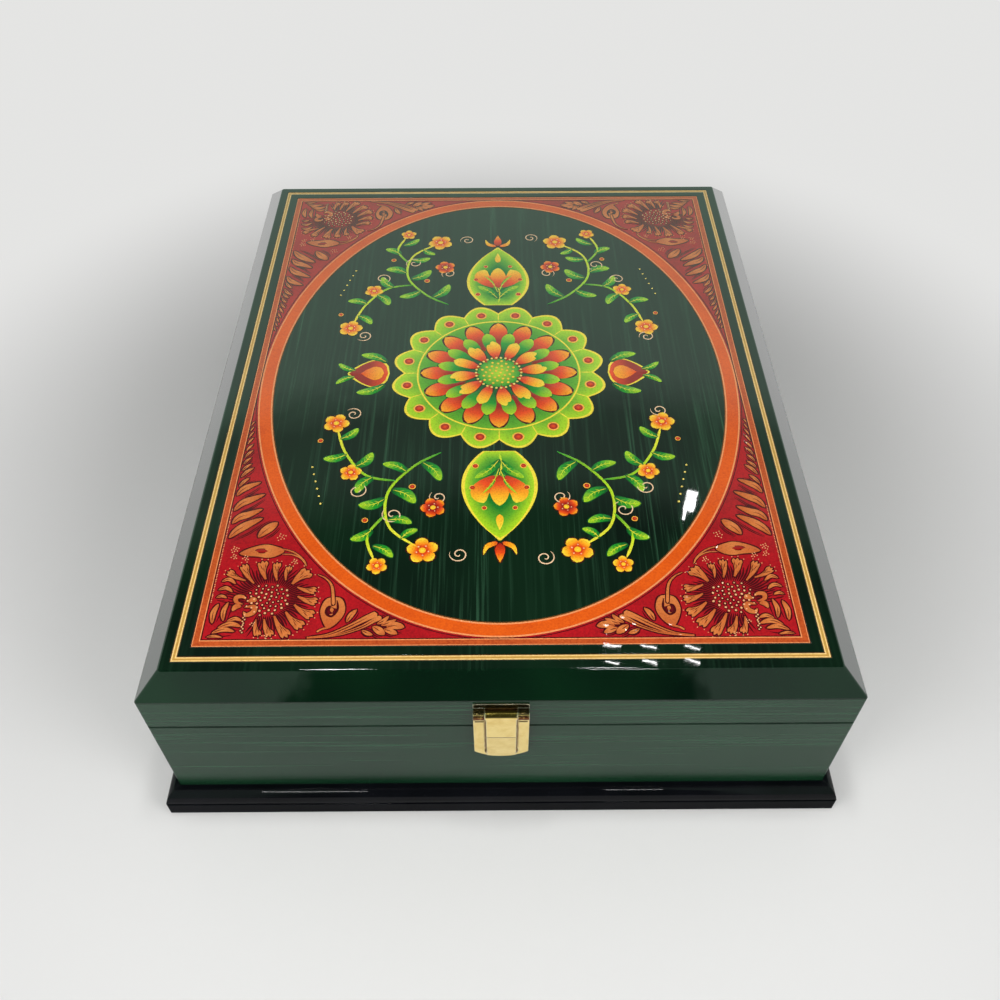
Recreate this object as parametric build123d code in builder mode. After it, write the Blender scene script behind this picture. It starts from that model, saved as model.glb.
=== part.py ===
"""A lacquered wooden presentation box with a bevelled, hinged lid and a brass latch.

The box stands on a moulded plinth. The base's four walls and the lid's four rails are
mitred, the bottom board sits in a groove, and the lid's top board carries a picture
panel of thin leaves let into it: a gold line, an orange border, red corner ground, an
orange oval ring and a dark oval field. The lid turns on two butt hinges at the back,
and a latch flap hangs from the lid's front rail over a catch on the base.

Millimetres. +X is to the right, +Y to the back and +Z up. The origin is under the
middle of the box, on the surface that it stands on.
"""

import os

from build123d import *

# Box body, measured over the walls
BOX_WIDTH = 340.0
BOX_DEPTH = 434.0
BASE_HEIGHT = 80.0
WALL = 12.0
CORNER_RADIUS = 1.4
EDGE_RADIUS = 0.5
PARTING_GAP = 0.8

# Bottom board, held in a groove that runs round the inside of the walls
BOTTOM_THICKNESS = 5.0
BOTTOM_CLEAR_HEIGHT = 4.0
GROOVE_DEPTH = 6.0
GROOVE_PLAY = 0.2

# Plinth moulding, glued round the foot of the walls
PLINTH_HEIGHT = 18.3
PLINTH_PROJECTION = 7.7
PLINTH_BAND_HEIGHT = 9.6
PLINTH_LEDGE = 2.6
PLINTH_FILLET_DROP = 1.3
PLINTH_QUIRK = 0.5
OVOLO_BULGE = 1.3
FOOT_EDGE_RADIUS = 0.8

# Lid
RIM_HEIGHT = 22.2
BEVEL_RISE = 10.5
BEVEL_INSET = 11.0
TOP_EDGE_RADIUS = 1.2
LID_OPENING_ANGLE = 100.0

# Picture panel in the lid's top: each inset is from the flat top's edge
LEAF_THICKNESS = 0.6
PICTURE_RECESS = 0.2
LEAF_JOINT = 0.1
GOLD_LINE_INSET = 4.8
GOLD_LINE_WIDTH = 3.0
BORDER_INSET = 12.8
BORDER_WIDTH = 3.9
RING_CLEARANCE = 0.6
RING_WIDTH = 8.2

# Padded linings
LINING_THICKNESS = 2.0
LINING_PLAY = 0.4

# Butt hinges, let into the top of the back wall and the bottom of the lid's back rail
HINGE_LENGTH = 50.0
HINGE_END_INSET = 40.0
LEAF_DEPTH = 9.0
LEAF_METAL = 1.2
LEAF_GAP = 0.2
KNUCKLE_COUNT = 5
KNUCKLE_RADIUS = 2.6
KNUCKLE_END_PLAY = 0.15
KNUCKLE_STANDOFF = 0.3
HINGE_PIN_RADIUS = 1.2
HINGE_PIN_PLAY = 0.05
HINGE_PIN_CAP = 0.8
HINGE_SCREW_PITCH = 17.0
MORTISE_PLAY = 0.05

# Countersunk hinge screws
SCREW_RADIUS = 1.3
SCREW_HEAD_RADIUS = 2.3
SCREW_LENGTH = 11.0
SCREW_PLAY = 0.05
SLOT_WIDTH = 0.6
SLOT_DEPTH = 0.5

# Latch: plate and pin on the lid's front rail, flap hung from the pin
LATCH_WIDTH = 26.4
LATCH_METAL = 0.8
LATCH_PIN_RISE = 15.4
LATCH_PIN_STANDOFF = 3.4
LATCH_PIN_RADIUS = 1.0
LATCH_PIN_PLAY = 0.06
LATCH_KNUCKLE_RADIUS = 2.3
LATCH_KNUCKLE_GAP = 0.2
LATCH_CURL_METAL = 1.2
PLATE_FOOT_RISE = 1.8
PLATE_TOP_ABOVE_PIN = 5.4
PLATE_CORNER = 1.0

# Latch flap: a shallow tray with a raised middle panel and a curved lower edge
FLAP_DROP = 39.0
FLAP_ARC_RISE = 5.0
FLAP_PANEL_WIDTH = 15.0
FLAP_METAL = 1.0
FLAP_FLANGE_FRONT = 4.2
FLAP_FLANGE_TOP = 2.9
FLAP_SIDE_BACK = 1.2
FLAP_CREASE_DROP = 17.0
FLAP_CREASE_FRONT = 5.9
FLAP_CREASE_WIDTH = 0.4
FLAP_CREASE_DEPTH = 0.25
FLAP_FOOT_FRONT = 4.3
FLAP_EDGE = 0.5
FLAP_SLOT_DROP = 4.6
FLAP_SLOT_HEIGHT = 1.1
FLAP_SLOT_MARGIN = 0.8
FLAP_GROOVE_WIDTH = 0.7
FLAP_GROOVE_DEPTH = 0.6
SNAP_RIDGE_DROP = 29.9
SNAP_RIDGE_HEIGHT = 1.0
SNAP_RIDGE_PLAY = 0.3

# Catch plate on the base's front wall, behind the flap
CATCH_WIDTH = 13.0
CATCH_HEIGHT = 14.5
CATCH_TOP_DROP = 21.2
RIB_DROP = 26.7
RIB_RADIUS = 1.4
RIB_WIDTH = 11.0

# Small round-head screws that hold the latch plate and the catch
TACK_RADIUS = 0.8
TACK_HEAD_RADIUS = 1.6
TACK_HEAD_HEIGHT = 0.8
TACK_LENGTH = 8.0
PLATE_TACK_SPACING = 20.0
PLATE_TACK_RISE = 4.4
CATCH_TACK_SPACING = 8.4
CATCH_TACK_RISE = 3.6

# Places worked out from the sizes above
HALF_WIDTH = BOX_WIDTH / 2
HALF_DEPTH = BOX_DEPTH / 2
RIM_BOTTOM = BASE_HEIGHT + PARTING_GAP
RIM_TOP = RIM_BOTTOM + RIM_HEIGHT
LID_TOP = RIM_TOP + BEVEL_RISE
TOP_HALF_WIDTH = HALF_WIDTH - BEVEL_INSET
TOP_HALF_DEPTH = HALF_DEPTH - BEVEL_INSET
BOTTOM_TOP = BOTTOM_CLEAR_HEIGHT + BOTTOM_THICKNESS
LEAF_FLOOR = LID_TOP - PICTURE_RECESS - LEAF_THICKNESS
HINGE_AXIS_Y = HALF_DEPTH + KNUCKLE_STANDOFF + KNUCKLE_RADIUS
HINGE_AXIS_Z = BASE_HEIGHT + PARTING_GAP / 2
HINGE_OFFSET = HALF_WIDTH - HINGE_END_INSET - HINGE_LENGTH / 2
HINGE_X = (-HINGE_OFFSET, HINGE_OFFSET)
SCREW_Y = HALF_DEPTH - LEAF_DEPTH / 2
LATCH_PIN_Y = -HALF_DEPTH - LATCH_PIN_STANDOFF
LATCH_PIN_Z = RIM_BOTTOM + LATCH_PIN_RISE
PLATE_TACK_Z = RIM_BOTTOM + PLATE_TACK_RISE
CATCH_TOP = LATCH_PIN_Z - CATCH_TOP_DROP
CATCH_BOTTOM = CATCH_TOP - CATCH_HEIGHT
CATCH_TACK_Z = CATCH_BOTTOM + CATCH_TACK_RISE

SIDES = {"front": (0, -1), "back": (0, 1), "left": (-1, 0), "right": (1, 0)}


def save(builder, name):
    """Labels a finished piece and writes it under its name."""
    builder.part.label = name
    export_step(builder.part, f"parts/{name}.step")


def side_plane(side):
    """A side's section plane: local X points out from the wall's outer face, local Y up."""
    out_x, out_y = SIDES[side]
    outward = Vector(out_x, out_y, 0)
    origin = (out_x * HALF_WIDTH, out_y * HALF_DEPTH, 0)
    return Plane(origin=origin, x_dir=outward, z_dir=outward.cross(Vector(0, 0, 1)))


def side_run(side):
    """A length that is sure to reach past both ends of a side, each way from its middle."""
    half = HALF_WIDTH if side in ("front", "back") else HALF_DEPTH
    return half + 2 * PLINTH_PROJECTION


def mitred_block(side, half_width, half_depth, low, high):
    """The room that one side may fill: cut at 45 degrees at both ends, outer corners rounded."""
    out_x, out_y = SIDES[side]
    half_out, half_along = (half_depth, half_width) if out_y else (half_width, half_depth)
    reach = min(half_width, half_depth) / 2

    def corner(step, sign):
        along = sign * (half_along + step)
        outward = half_out + step
        return (out_x * outward - out_y * along, out_y * outward + out_x * along)

    with BuildPart(mode=Mode.PRIVATE) as block:
        with BuildSketch(Plane.XY.offset(low)):
            RectangleRounded(2 * half_width, 2 * half_depth, CORNER_RADIUS)
            corners = [corner(reach, -1), corner(reach, 1), corner(-reach, 1), corner(-reach, -1)]
            Polygon(*corners, align=None, mode=Mode.INTERSECT)
        extrude(amount=high - low)
    return block.part


def wall_point(out, height, side=-1):
    """A point of the YZ section plane that lies out from the front wall, or from the back one."""
    return (side * (HALF_DEPTH + out), height)


def base_wall(side):
    """One base wall: grooved for the bottom board and mortised or drilled for its metalwork."""
    room = mitred_block(side, HALF_WIDTH, HALF_DEPTH, 0, BASE_HEIGHT)
    with BuildPart() as wall:
        with BuildSketch(side_plane(side)) as section:
            with Locations((0, 0)):
                Rectangle(WALL, BASE_HEIGHT, align=(Align.MAX, Align.MIN))
            top_edge = section.vertices().group_by(Axis.Y)[-1].sort_by(Axis.X)[-1]
            fillet(top_edge, EDGE_RADIUS)
            with Locations((-WALL, BOTTOM_CLEAR_HEIGHT)):
                Rectangle(
                    GROOVE_DEPTH,
                    BOTTOM_THICKNESS,
                    align=(Align.MIN, Align.MIN),
                    mode=Mode.SUBTRACT,
                )
        extrude(amount=side_run(side), both=True)
        add(room, mode=Mode.INTERSECT)
        if side == "back":
            cut_hinge_seats(BASE_HEIGHT, -1)
        if side == "front":
            drill_tacks(CATCH_TACK_SPACING, CATCH_TACK_Z, HALF_DEPTH)
    return wall


def lid_rail(side):
    """One rail of the lid's rim."""
    room = mitred_block(side, HALF_WIDTH, HALF_DEPTH, RIM_BOTTOM, RIM_TOP)
    with BuildPart() as rail:
        with BuildSketch(side_plane(side)) as section:
            with Locations((0, RIM_BOTTOM)):
                Rectangle(WALL, RIM_HEIGHT, align=(Align.MAX, Align.MIN))
            bottom_edge = section.vertices().group_by(Axis.Y)[0].sort_by(Axis.X)[-1]
            fillet(bottom_edge, EDGE_RADIUS)
        extrude(amount=side_run(side), both=True)
        add(room, mode=Mode.INTERSECT)
        if side == "back":
            cut_hinge_seats(RIM_BOTTOM, 1)
        if side == "front":
            drill_tacks(PLATE_TACK_SPACING, PLATE_TACK_Z, HALF_DEPTH)
    return rail


def plinth_side(side):
    """One plinth moulding: a flat band, an ovolo above it, and a narrow ledge at the wall."""
    half_width = HALF_WIDTH + PLINTH_PROJECTION
    half_depth = HALF_DEPTH + PLINTH_PROJECTION
    room = mitred_block(side, half_width, half_depth, 0, PLINTH_HEIGHT)
    with BuildPart() as moulding:
        ovolo_foot = (PLINTH_PROJECTION - PLINTH_QUIRK, PLINTH_BAND_HEIGHT)
        ovolo_head = (PLINTH_LEDGE, PLINTH_HEIGHT - PLINTH_FILLET_DROP)
        with BuildSketch(side_plane(side)) as section:
            with BuildLine():
                Polyline(
                    ovolo_head,
                    (PLINTH_LEDGE, PLINTH_HEIGHT),
                    (0, PLINTH_HEIGHT),
                    (0, 0),
                    (PLINTH_PROJECTION, 0),
                    (PLINTH_PROJECTION, PLINTH_BAND_HEIGHT),
                    ovolo_foot,
                )
                SagittaArc(ovolo_foot, ovolo_head, -OVOLO_BULGE)
            make_face()
            foot_edge = section.vertices().group_by(Axis.Y)[0].sort_by(Axis.X)[-1]
            fillet(foot_edge, FOOT_EDGE_RADIUS)
        extrude(amount=side_run(side), both=True)
        add(room, mode=Mode.INTERSECT)
    return moulding


def cut_hinge_seats(face_z, direction):
    """Mortises for two hinge leaves in the face at face_z, and their screws' pilot holes."""
    metal_outer = HINGE_AXIS_Z + direction * (LEAF_GAP / 2 + LEAF_METAL)
    depth = abs(metal_outer - face_z) + MORTISE_PLAY
    for hinge_x in HINGE_X:
        with Locations((hinge_x, HALF_DEPTH, face_z + direction * depth / 2)):
            Box(
                HINGE_LENGTH + 2 * MORTISE_PLAY,
                2 * (LEAF_DEPTH + MORTISE_PLAY),
                depth,
                mode=Mode.SUBTRACT,
            )
        for screw_x in screw_places(hinge_x):
            pilot_length = LEAF_METAL + SCREW_LENGTH
            with Locations((screw_x, SCREW_Y, face_z + direction * pilot_length / 2)):
                Cylinder(SCREW_RADIUS + SCREW_PLAY, pilot_length, mode=Mode.SUBTRACT)


def screw_places(hinge_x):
    """Where one hinge's screws stand along the hinge."""
    return [hinge_x + step * HINGE_SCREW_PITCH for step in (-1, 0, 1)]


def drill_tacks(spacing, height, face):
    """Two pilot holes for round-head screws in the front face."""
    for sign in (-1, 1):
        with Locations(Location((sign * spacing / 2, -face, height), (90, 0, 0))):
            Cylinder(TACK_RADIUS + SCREW_PLAY, 2 * TACK_LENGTH, mode=Mode.SUBTRACT)


def tacks(spacing, height):
    """A pair of round-head screws whose heads seat on latch metal over the front face."""
    seat = -HALF_DEPTH - LATCH_METAL
    with BuildPart() as pair:
        for sign in (-1, 1):
            head = Plane(origin=(sign * spacing / 2, seat, height), x_dir=(1, 0, 0), z_dir=(0, -1, 0))
            with BuildSketch(head):
                Circle(TACK_HEAD_RADIUS)
            extrude(amount=TACK_HEAD_HEIGHT)
            with BuildSketch(head):
                Circle(TACK_RADIUS)
            extrude(amount=-TACK_LENGTH)
        rims = pair.edges().filter_by(GeomType.CIRCLE).group_by(Axis.Y)[0]
        fillet(rims, TACK_HEAD_HEIGHT / 2)
        for sign in (-1, 1):
            with Locations((sign * spacing / 2, seat - TACK_HEAD_HEIGHT, height)):
                Box(2 * TACK_HEAD_RADIUS, 2 * SLOT_DEPTH, SLOT_WIDTH, mode=Mode.SUBTRACT)
    return pair


def top_board():
    """The lid's board: bevelled all round, with shallow seats for the picture leaves."""
    with BuildPart() as board:
        with BuildSketch(Plane.XY.offset(RIM_TOP)):
            RectangleRounded(BOX_WIDTH, BOX_DEPTH, CORNER_RADIUS)
        with BuildSketch(Plane.XY.offset(LID_TOP)):
            RectangleRounded(2 * TOP_HALF_WIDTH, 2 * TOP_HALF_DEPTH, CORNER_RADIUS)
        loft(ruled=True)
        rim = board.faces().sort_by(Axis.Z)[-1].edges()
        fillet(rim, TOP_EDGE_RADIUS)
        with BuildSketch(Plane.XY.offset(LEAF_FLOOR)):
            frame_outline(GOLD_LINE_INSET, GOLD_LINE_WIDTH)
            picture_rectangle(BORDER_INSET)
        extrude(amount=LID_TOP - LEAF_FLOOR, mode=Mode.SUBTRACT)
    return board


def picture_rectangle(inset, mode=Mode.ADD):
    """A rectangle on the flat top, by its inset from the top's edge."""
    Rectangle(2 * (TOP_HALF_WIDTH - inset), 2 * (TOP_HALF_DEPTH - inset), mode=mode)


def frame_outline(inset, width):
    """A rectangular band on the flat top."""
    picture_rectangle(inset)
    picture_rectangle(inset + width, Mode.SUBTRACT)


def picture_oval(inset, mode=Mode.ADD):
    """An oval on the flat top, by the inset of its four tips."""
    Ellipse(TOP_HALF_WIDTH - inset, TOP_HALF_DEPTH - inset, mode=mode)


def picture_leaf(draw):
    """One thin leaf of the picture panel, a paint's thickness below the lid's top."""
    with BuildPart() as leaf:
        with BuildSketch(Plane.XY.offset(LEAF_FLOOR)):
            draw()
        extrude(amount=LEAF_THICKNESS)
    return leaf


def lining(low):
    """A padded lining that fills the box between the walls."""
    with BuildPart() as pad:
        with BuildSketch(Plane.XY.offset(low)):
            Rectangle(
                BOX_WIDTH - 2 * (WALL + LINING_PLAY),
                BOX_DEPTH - 2 * (WALL + LINING_PLAY),
            )
        extrude(amount=LINING_THICKNESS)
    return pad


def hinge_leaf(hinge_x, direction):
    """One hinge leaf with its knuckles: below the pin's level for the base, above it for the lid."""
    pitch = HINGE_LENGTH / KNUCKLE_COUNT
    first = 0 if direction < 0 else 1
    metal_inner = HINGE_AXIS_Z + direction * LEAF_GAP / 2
    metal_middle = metal_inner + direction * LEAF_METAL / 2
    start_x = hinge_x - HINGE_LENGTH / 2
    with BuildPart() as leaf:
        with Locations((hinge_x, HALF_DEPTH - LEAF_DEPTH / 2, metal_middle)):
            Box(HINGE_LENGTH, LEAF_DEPTH, LEAF_METAL)
        for number in range(first, KNUCKLE_COUNT, 2):
            low_x = start_x + number * pitch + (KNUCKLE_END_PLAY if number else 0)
            high_x = start_x + (number + 1) * pitch
            if number < KNUCKLE_COUNT - 1:
                high_x -= KNUCKLE_END_PLAY
            middle_x = (low_x + high_x) / 2
            with Locations(Location((middle_x, HINGE_AXIS_Y, HINGE_AXIS_Z), (0, 90, 0))):
                Cylinder(KNUCKLE_RADIUS, high_x - low_x)
            neck = HINGE_AXIS_Y - HALF_DEPTH
            with Locations((middle_x, HALF_DEPTH + neck / 2, metal_middle)):
                Box(high_x - low_x, neck, LEAF_METAL)
        with Locations(Location((hinge_x, HINGE_AXIS_Y, HINGE_AXIS_Z), (0, 90, 0))):
            Cylinder(HINGE_PIN_RADIUS + HINGE_PIN_PLAY, HINGE_LENGTH, mode=Mode.SUBTRACT)
        turn = 0 if direction < 0 else 180
        for screw_x in screw_places(hinge_x):
            with Locations(Location((screw_x, SCREW_Y, metal_inner), (turn, 0, 0))):
                CounterSinkHole(
                    SCREW_RADIUS + SCREW_PLAY,
                    SCREW_HEAD_RADIUS + SCREW_PLAY,
                    depth=LEAF_METAL,
                    counter_sink_angle=90,
                )
    return leaf


def hinge_pins():
    """Both hinge pins, each with a cap at either end."""
    half = HINGE_LENGTH / 2
    with BuildPart() as pins:
        for hinge_x in HINGE_X:
            with Locations(Location((hinge_x, HINGE_AXIS_Y, HINGE_AXIS_Z), (0, 90, 0))):
                Cylinder(HINGE_PIN_RADIUS, HINGE_LENGTH)
            for sign in (-1, 1):
                cap_x = hinge_x + sign * (half + HINGE_PIN_CAP / 2)
                with Locations(Location((cap_x, HINGE_AXIS_Y, HINGE_AXIS_Z), (0, 90, 0))):
                    Cylinder((HINGE_PIN_RADIUS + KNUCKLE_RADIUS) / 2, HINGE_PIN_CAP)
    return pins


def hinge_screws(direction):
    """The six countersunk screws of the base's leaves, or of the lid's."""
    seat = HINGE_AXIS_Z + direction * LEAF_GAP / 2
    head_depth = SCREW_HEAD_RADIUS - SCREW_RADIUS
    tip_length = SCREW_RADIUS
    with BuildPart() as screws:
        for hinge_x in HINGE_X:
            for screw_x in screw_places(hinge_x):
                section = Plane(origin=(screw_x, SCREW_Y, seat), x_dir=(1, 0, 0), z_dir=(0, -direction, 0))
                with BuildSketch(section):
                    with BuildLine():
                        Polyline(
                            (0, 0),
                            (SCREW_HEAD_RADIUS, 0),
                            (SCREW_RADIUS, head_depth),
                            (SCREW_RADIUS, SCREW_LENGTH - tip_length),
                            (0, SCREW_LENGTH),
                            close=True,
                        )
                    make_face()
                revolve(axis=Axis((screw_x, SCREW_Y, seat), (0, 0, 1)))
                with Locations((screw_x, SCREW_Y, seat)):
                    Box(2 * SCREW_HEAD_RADIUS, SLOT_WIDTH, 2 * SLOT_DEPTH, mode=Mode.SUBTRACT)
    return screws


def latch_plate():
    """The plate on the lid's front rail, with a curled knuckle at each side for the pin."""
    half = LATCH_WIDTH / 2
    knuckle_inner = FLAP_PANEL_WIDTH / 2 + LATCH_KNUCKLE_GAP
    low = RIM_BOTTOM + PLATE_FOOT_RISE
    high = LATCH_PIN_Z + PLATE_TOP_ABOVE_PIN
    curl_bottom = LATCH_PIN_Z + LATCH_KNUCKLE_RADIUS - LATCH_CURL_METAL
    with BuildPart() as plate:
        with BuildSketch(Plane.XZ.offset(HALF_DEPTH)):
            with Locations((0, (low + high) / 2)):
                RectangleRounded(LATCH_WIDTH, high - low, PLATE_CORNER)
        extrude(amount=LATCH_METAL)
        with BuildSketch(Plane.YZ.offset(knuckle_inner)):
            with Locations(wall_point(LATCH_PIN_STANDOFF, LATCH_PIN_Z)):
                Circle(LATCH_KNUCKLE_RADIUS)
            with Locations(wall_point(0, curl_bottom)):
                Rectangle(LATCH_PIN_STANDOFF, LATCH_CURL_METAL, align=(Align.MAX, Align.MIN))
        extrude(amount=half - knuckle_inner)
        mirror(about=Plane.YZ)
        with Locations(Location((0, LATCH_PIN_Y, LATCH_PIN_Z), (0, 90, 0))):
            Cylinder(LATCH_PIN_RADIUS, 2 * LATCH_WIDTH, mode=Mode.SUBTRACT)
        drill_tacks(PLATE_TACK_SPACING, PLATE_TACK_Z, HALF_DEPTH)
    return plate


def latch_pin():
    """The pin that the flap turns on, held in the plate's knuckles."""
    with BuildPart() as pin:
        with Locations(Location((0, LATCH_PIN_Y, LATCH_PIN_Z), (0, 90, 0))):
            Cylinder(LATCH_PIN_RADIUS, LATCH_WIDTH)
    return pin


def flap_outline(top):
    """The flap seen from the front: straight sides and a curved lower edge."""
    foot = LATCH_PIN_Z - FLAP_DROP
    shoulder = foot + FLAP_ARC_RISE
    arc_radius = ((LATCH_WIDTH / 2) ** 2 + FLAP_ARC_RISE**2) / (2 * FLAP_ARC_RISE)
    with Locations((0, foot + arc_radius)):
        Circle(arc_radius)
    with Locations((0, foot)):
        Rectangle(
            LATCH_WIDTH,
            FLAP_ARC_RISE,
            align=(Align.CENTER, Align.MIN),
            mode=Mode.INTERSECT,
        )
    with Locations((0, shoulder)):
        Rectangle(LATCH_WIDTH, top - shoulder, align=(Align.CENTER, Align.MIN))


def panel_section(inset, back, top):
    """The raised panel's side view, out to inset behind its front face."""
    crease = LATCH_PIN_Z - FLAP_CREASE_DROP
    foot = LATCH_PIN_Z - FLAP_DROP
    head_front = LATCH_PIN_STANDOFF + LATCH_KNUCKLE_RADIUS
    Polygon(
        wall_point(back, top),
        wall_point(head_front - inset, top),
        wall_point(FLAP_CREASE_FRONT - inset, crease),
        wall_point(FLAP_FOOT_FRONT - inset, foot),
        wall_point(back, foot),
        align=None,
    )


def latch_flap():
    """The flap: a tray with a raised middle panel that curls round the pin at its top."""
    half = LATCH_WIDTH / 2
    half_panel = FLAP_PANEL_WIDTH / 2
    flange_back = FLAP_FLANGE_FRONT - FLAP_METAL
    flange_top = LATCH_PIN_Z - FLAP_FLANGE_TOP
    shoulder = LATCH_PIN_Z - FLAP_DROP + FLAP_ARC_RISE
    knuckle_bottom = LATCH_PIN_Z - LATCH_KNUCKLE_RADIUS
    ridge_top = LATCH_PIN_Z - SNAP_RIDGE_DROP + SNAP_RIDGE_HEIGHT
    ridge_back = LATCH_METAL + RIB_RADIUS + SNAP_RIDGE_PLAY
    with BuildPart() as flap:
        with BuildSketch(Plane.YZ):
            panel_section(0, flange_back, LATCH_PIN_Z)
        extrude(amount=half_panel, both=True)
        with BuildSketch(Plane.XZ.offset(HALF_DEPTH)):
            flap_outline(LATCH_PIN_Z)
        extrude(amount=2 * FLAP_CREASE_FRONT, mode=Mode.INTERSECT)
        front_edges = flap.edges().filter_by(lambda e: abs(abs(e.center().X) - half_panel) < FLAP_EDGE)
        front_edges = front_edges.filter_by(lambda e: e.center().Y < -HALF_DEPTH - FLAP_FLANGE_FRONT)
        chamfer(front_edges, FLAP_EDGE)
        crease_z = LATCH_PIN_Z - FLAP_CREASE_DROP
        with Locations((0, -HALF_DEPTH - FLAP_CREASE_FRONT, crease_z)):
            Box(
                FLAP_PANEL_WIDTH - 2 * FLAP_EDGE,
                2 * FLAP_CREASE_DEPTH,
                FLAP_CREASE_WIDTH,
                mode=Mode.SUBTRACT,
            )
        with BuildSketch(Plane.XZ.offset(HALF_DEPTH + flange_back)):
            flap_outline(flange_top)
        extrude(amount=FLAP_METAL)
        for sign in (-1, 1):
            with Locations(
                (
                    sign * (half - FLAP_METAL / 2),
                    -HALF_DEPTH - (FLAP_SIDE_BACK + flange_back) / 2,
                    (shoulder + flange_top) / 2,
                )
            ):
                Box(FLAP_METAL, flange_back - FLAP_SIDE_BACK, flange_top - shoulder)
            groove_x = sign * (half_panel + FLAP_GROOVE_WIDTH / 2)
            with Locations((groove_x, -HALF_DEPTH - FLAP_FLANGE_FRONT, (shoulder + flange_top) / 2)):
                Box(
                    FLAP_GROOVE_WIDTH,
                    2 * FLAP_GROOVE_DEPTH,
                    flange_top - shoulder + 2 * FLAP_GROOVE_DEPTH,
                    mode=Mode.SUBTRACT,
                )
            slot_inner = half_panel + FLAP_GROOVE_WIDTH
            slot_width = half - slot_inner - FLAP_SLOT_MARGIN
            with Locations(
                (
                    sign * (slot_inner + slot_width / 2),
                    -HALF_DEPTH - FLAP_FLANGE_FRONT,
                    LATCH_PIN_Z - FLAP_SLOT_DROP,
                )
            ):
                Box(slot_width, 4 * FLAP_METAL, FLAP_SLOT_HEIGHT, mode=Mode.SUBTRACT)
        with BuildSketch(Plane.YZ):
            panel_section(FLAP_METAL, 0, knuckle_bottom - FLAP_METAL / 2)
            with Locations(wall_point(0, LATCH_PIN_Z - FLAP_DROP)):
                Rectangle(
                    2 * FLAP_CREASE_FRONT,
                    FLAP_ARC_RISE / 2,
                    align=(Align.MAX, Align.MIN),
                    mode=Mode.SUBTRACT,
                )
        extrude(amount=half_panel - FLAP_METAL, both=True, mode=Mode.SUBTRACT)
        with Locations(
            (
                0,
                -HALF_DEPTH - (ridge_back + FLAP_FOOT_FRONT) / 2,
                ridge_top - SNAP_RIDGE_HEIGHT / 2,
            )
        ):
            Box(2 * half_panel - FLAP_METAL, FLAP_FOOT_FRONT - ridge_back, SNAP_RIDGE_HEIGHT)
        with Locations(Location((0, LATCH_PIN_Y, LATCH_PIN_Z), (0, 90, 0))):
            Cylinder(LATCH_KNUCKLE_RADIUS, FLAP_PANEL_WIDTH)
            Cylinder(LATCH_PIN_RADIUS + LATCH_PIN_PLAY, LATCH_WIDTH, mode=Mode.SUBTRACT)
    return flap


def catch_plate():
    """The catch on the base: a flat plate with a half-round rib for the flap to snap over."""
    rib_z = LATCH_PIN_Z - RIB_DROP
    with BuildPart() as catch:
        with BuildSketch(Plane.XZ.offset(HALF_DEPTH)):
            with Locations((0, (CATCH_TOP + CATCH_BOTTOM) / 2)):
                RectangleRounded(CATCH_WIDTH, CATCH_HEIGHT, PLATE_CORNER)
        extrude(amount=LATCH_METAL)
        with BuildSketch(Plane.YZ):
            with Locations(wall_point(LATCH_METAL, rib_z)):
                Circle(RIB_RADIUS)
            with Locations(wall_point(0, rib_z)):
                Rectangle(2 * RIB_RADIUS, 2 * RIB_RADIUS, align=(Align.MIN, Align.CENTER), mode=Mode.SUBTRACT)
        extrude(amount=RIB_WIDTH / 2, both=True)
        drill_tacks(CATCH_TACK_SPACING, CATCH_TACK_Z, HALF_DEPTH)
    return catch


os.makedirs("parts", exist_ok=True)

# Base
for side_name in SIDES:
    save(base_wall(side_name), f"base_{side_name}_wall")
    save(plinth_side(side_name), f"plinth_{side_name}")

with BuildPart() as bottom_board:
    seat_depth = WALL - GROOVE_DEPTH + GROOVE_PLAY
    with BuildSketch(Plane.XY.offset(BOTTOM_CLEAR_HEIGHT)):
        Rectangle(BOX_WIDTH - 2 * seat_depth, BOX_DEPTH - 2 * seat_depth)
    extrude(amount=BOTTOM_THICKNESS)
save(bottom_board, "bottom_board")
save(lining(BOTTOM_TOP), "floor_lining")

# Lid
for side_name in SIDES:
    save(lid_rail(side_name), f"lid_{side_name}_rail")
save(top_board(), "lid_top_board")
save(lining(RIM_TOP - LINING_THICKNESS), "lid_lining")


def draw_corner_ground():
    """The red ground: all that lies between the border and the oval ring."""
    picture_rectangle(BORDER_INSET + BORDER_WIDTH + LEAF_JOINT)
    picture_oval(BORDER_INSET + BORDER_WIDTH + RING_CLEARANCE - LEAF_JOINT, Mode.SUBTRACT)


def draw_oval_ring():
    """The broad orange ring round the oval field."""
    picture_oval(BORDER_INSET + BORDER_WIDTH + RING_CLEARANCE)
    picture_oval(BORDER_INSET + BORDER_WIDTH + RING_CLEARANCE + RING_WIDTH, Mode.SUBTRACT)


def draw_oval_field():
    """The dark oval field in the middle."""
    picture_oval(BORDER_INSET + BORDER_WIDTH + RING_CLEARANCE + RING_WIDTH + LEAF_JOINT)


save(picture_leaf(lambda: frame_outline(GOLD_LINE_INSET, GOLD_LINE_WIDTH)), "picture_gold_line")
save(picture_leaf(lambda: frame_outline(BORDER_INSET, BORDER_WIDTH)), "picture_orange_border")
save(picture_leaf(draw_corner_ground), "picture_corner_ground")
save(picture_leaf(draw_oval_ring), "picture_oval_ring")
save(picture_leaf(draw_oval_field), "picture_oval_field")

# Hinges
for hinge_name, hinge_x in zip(("left", "right"), HINGE_X):
    save(hinge_leaf(hinge_x, -1), f"hinge_{hinge_name}_base_leaf")
    save(hinge_leaf(hinge_x, 1), f"hinge_{hinge_name}_lid_leaf")
save(hinge_pins(), "hinge_pins")
save(hinge_screws(-1), "hinge_base_screws")
save(hinge_screws(1), "hinge_lid_screws")

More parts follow.
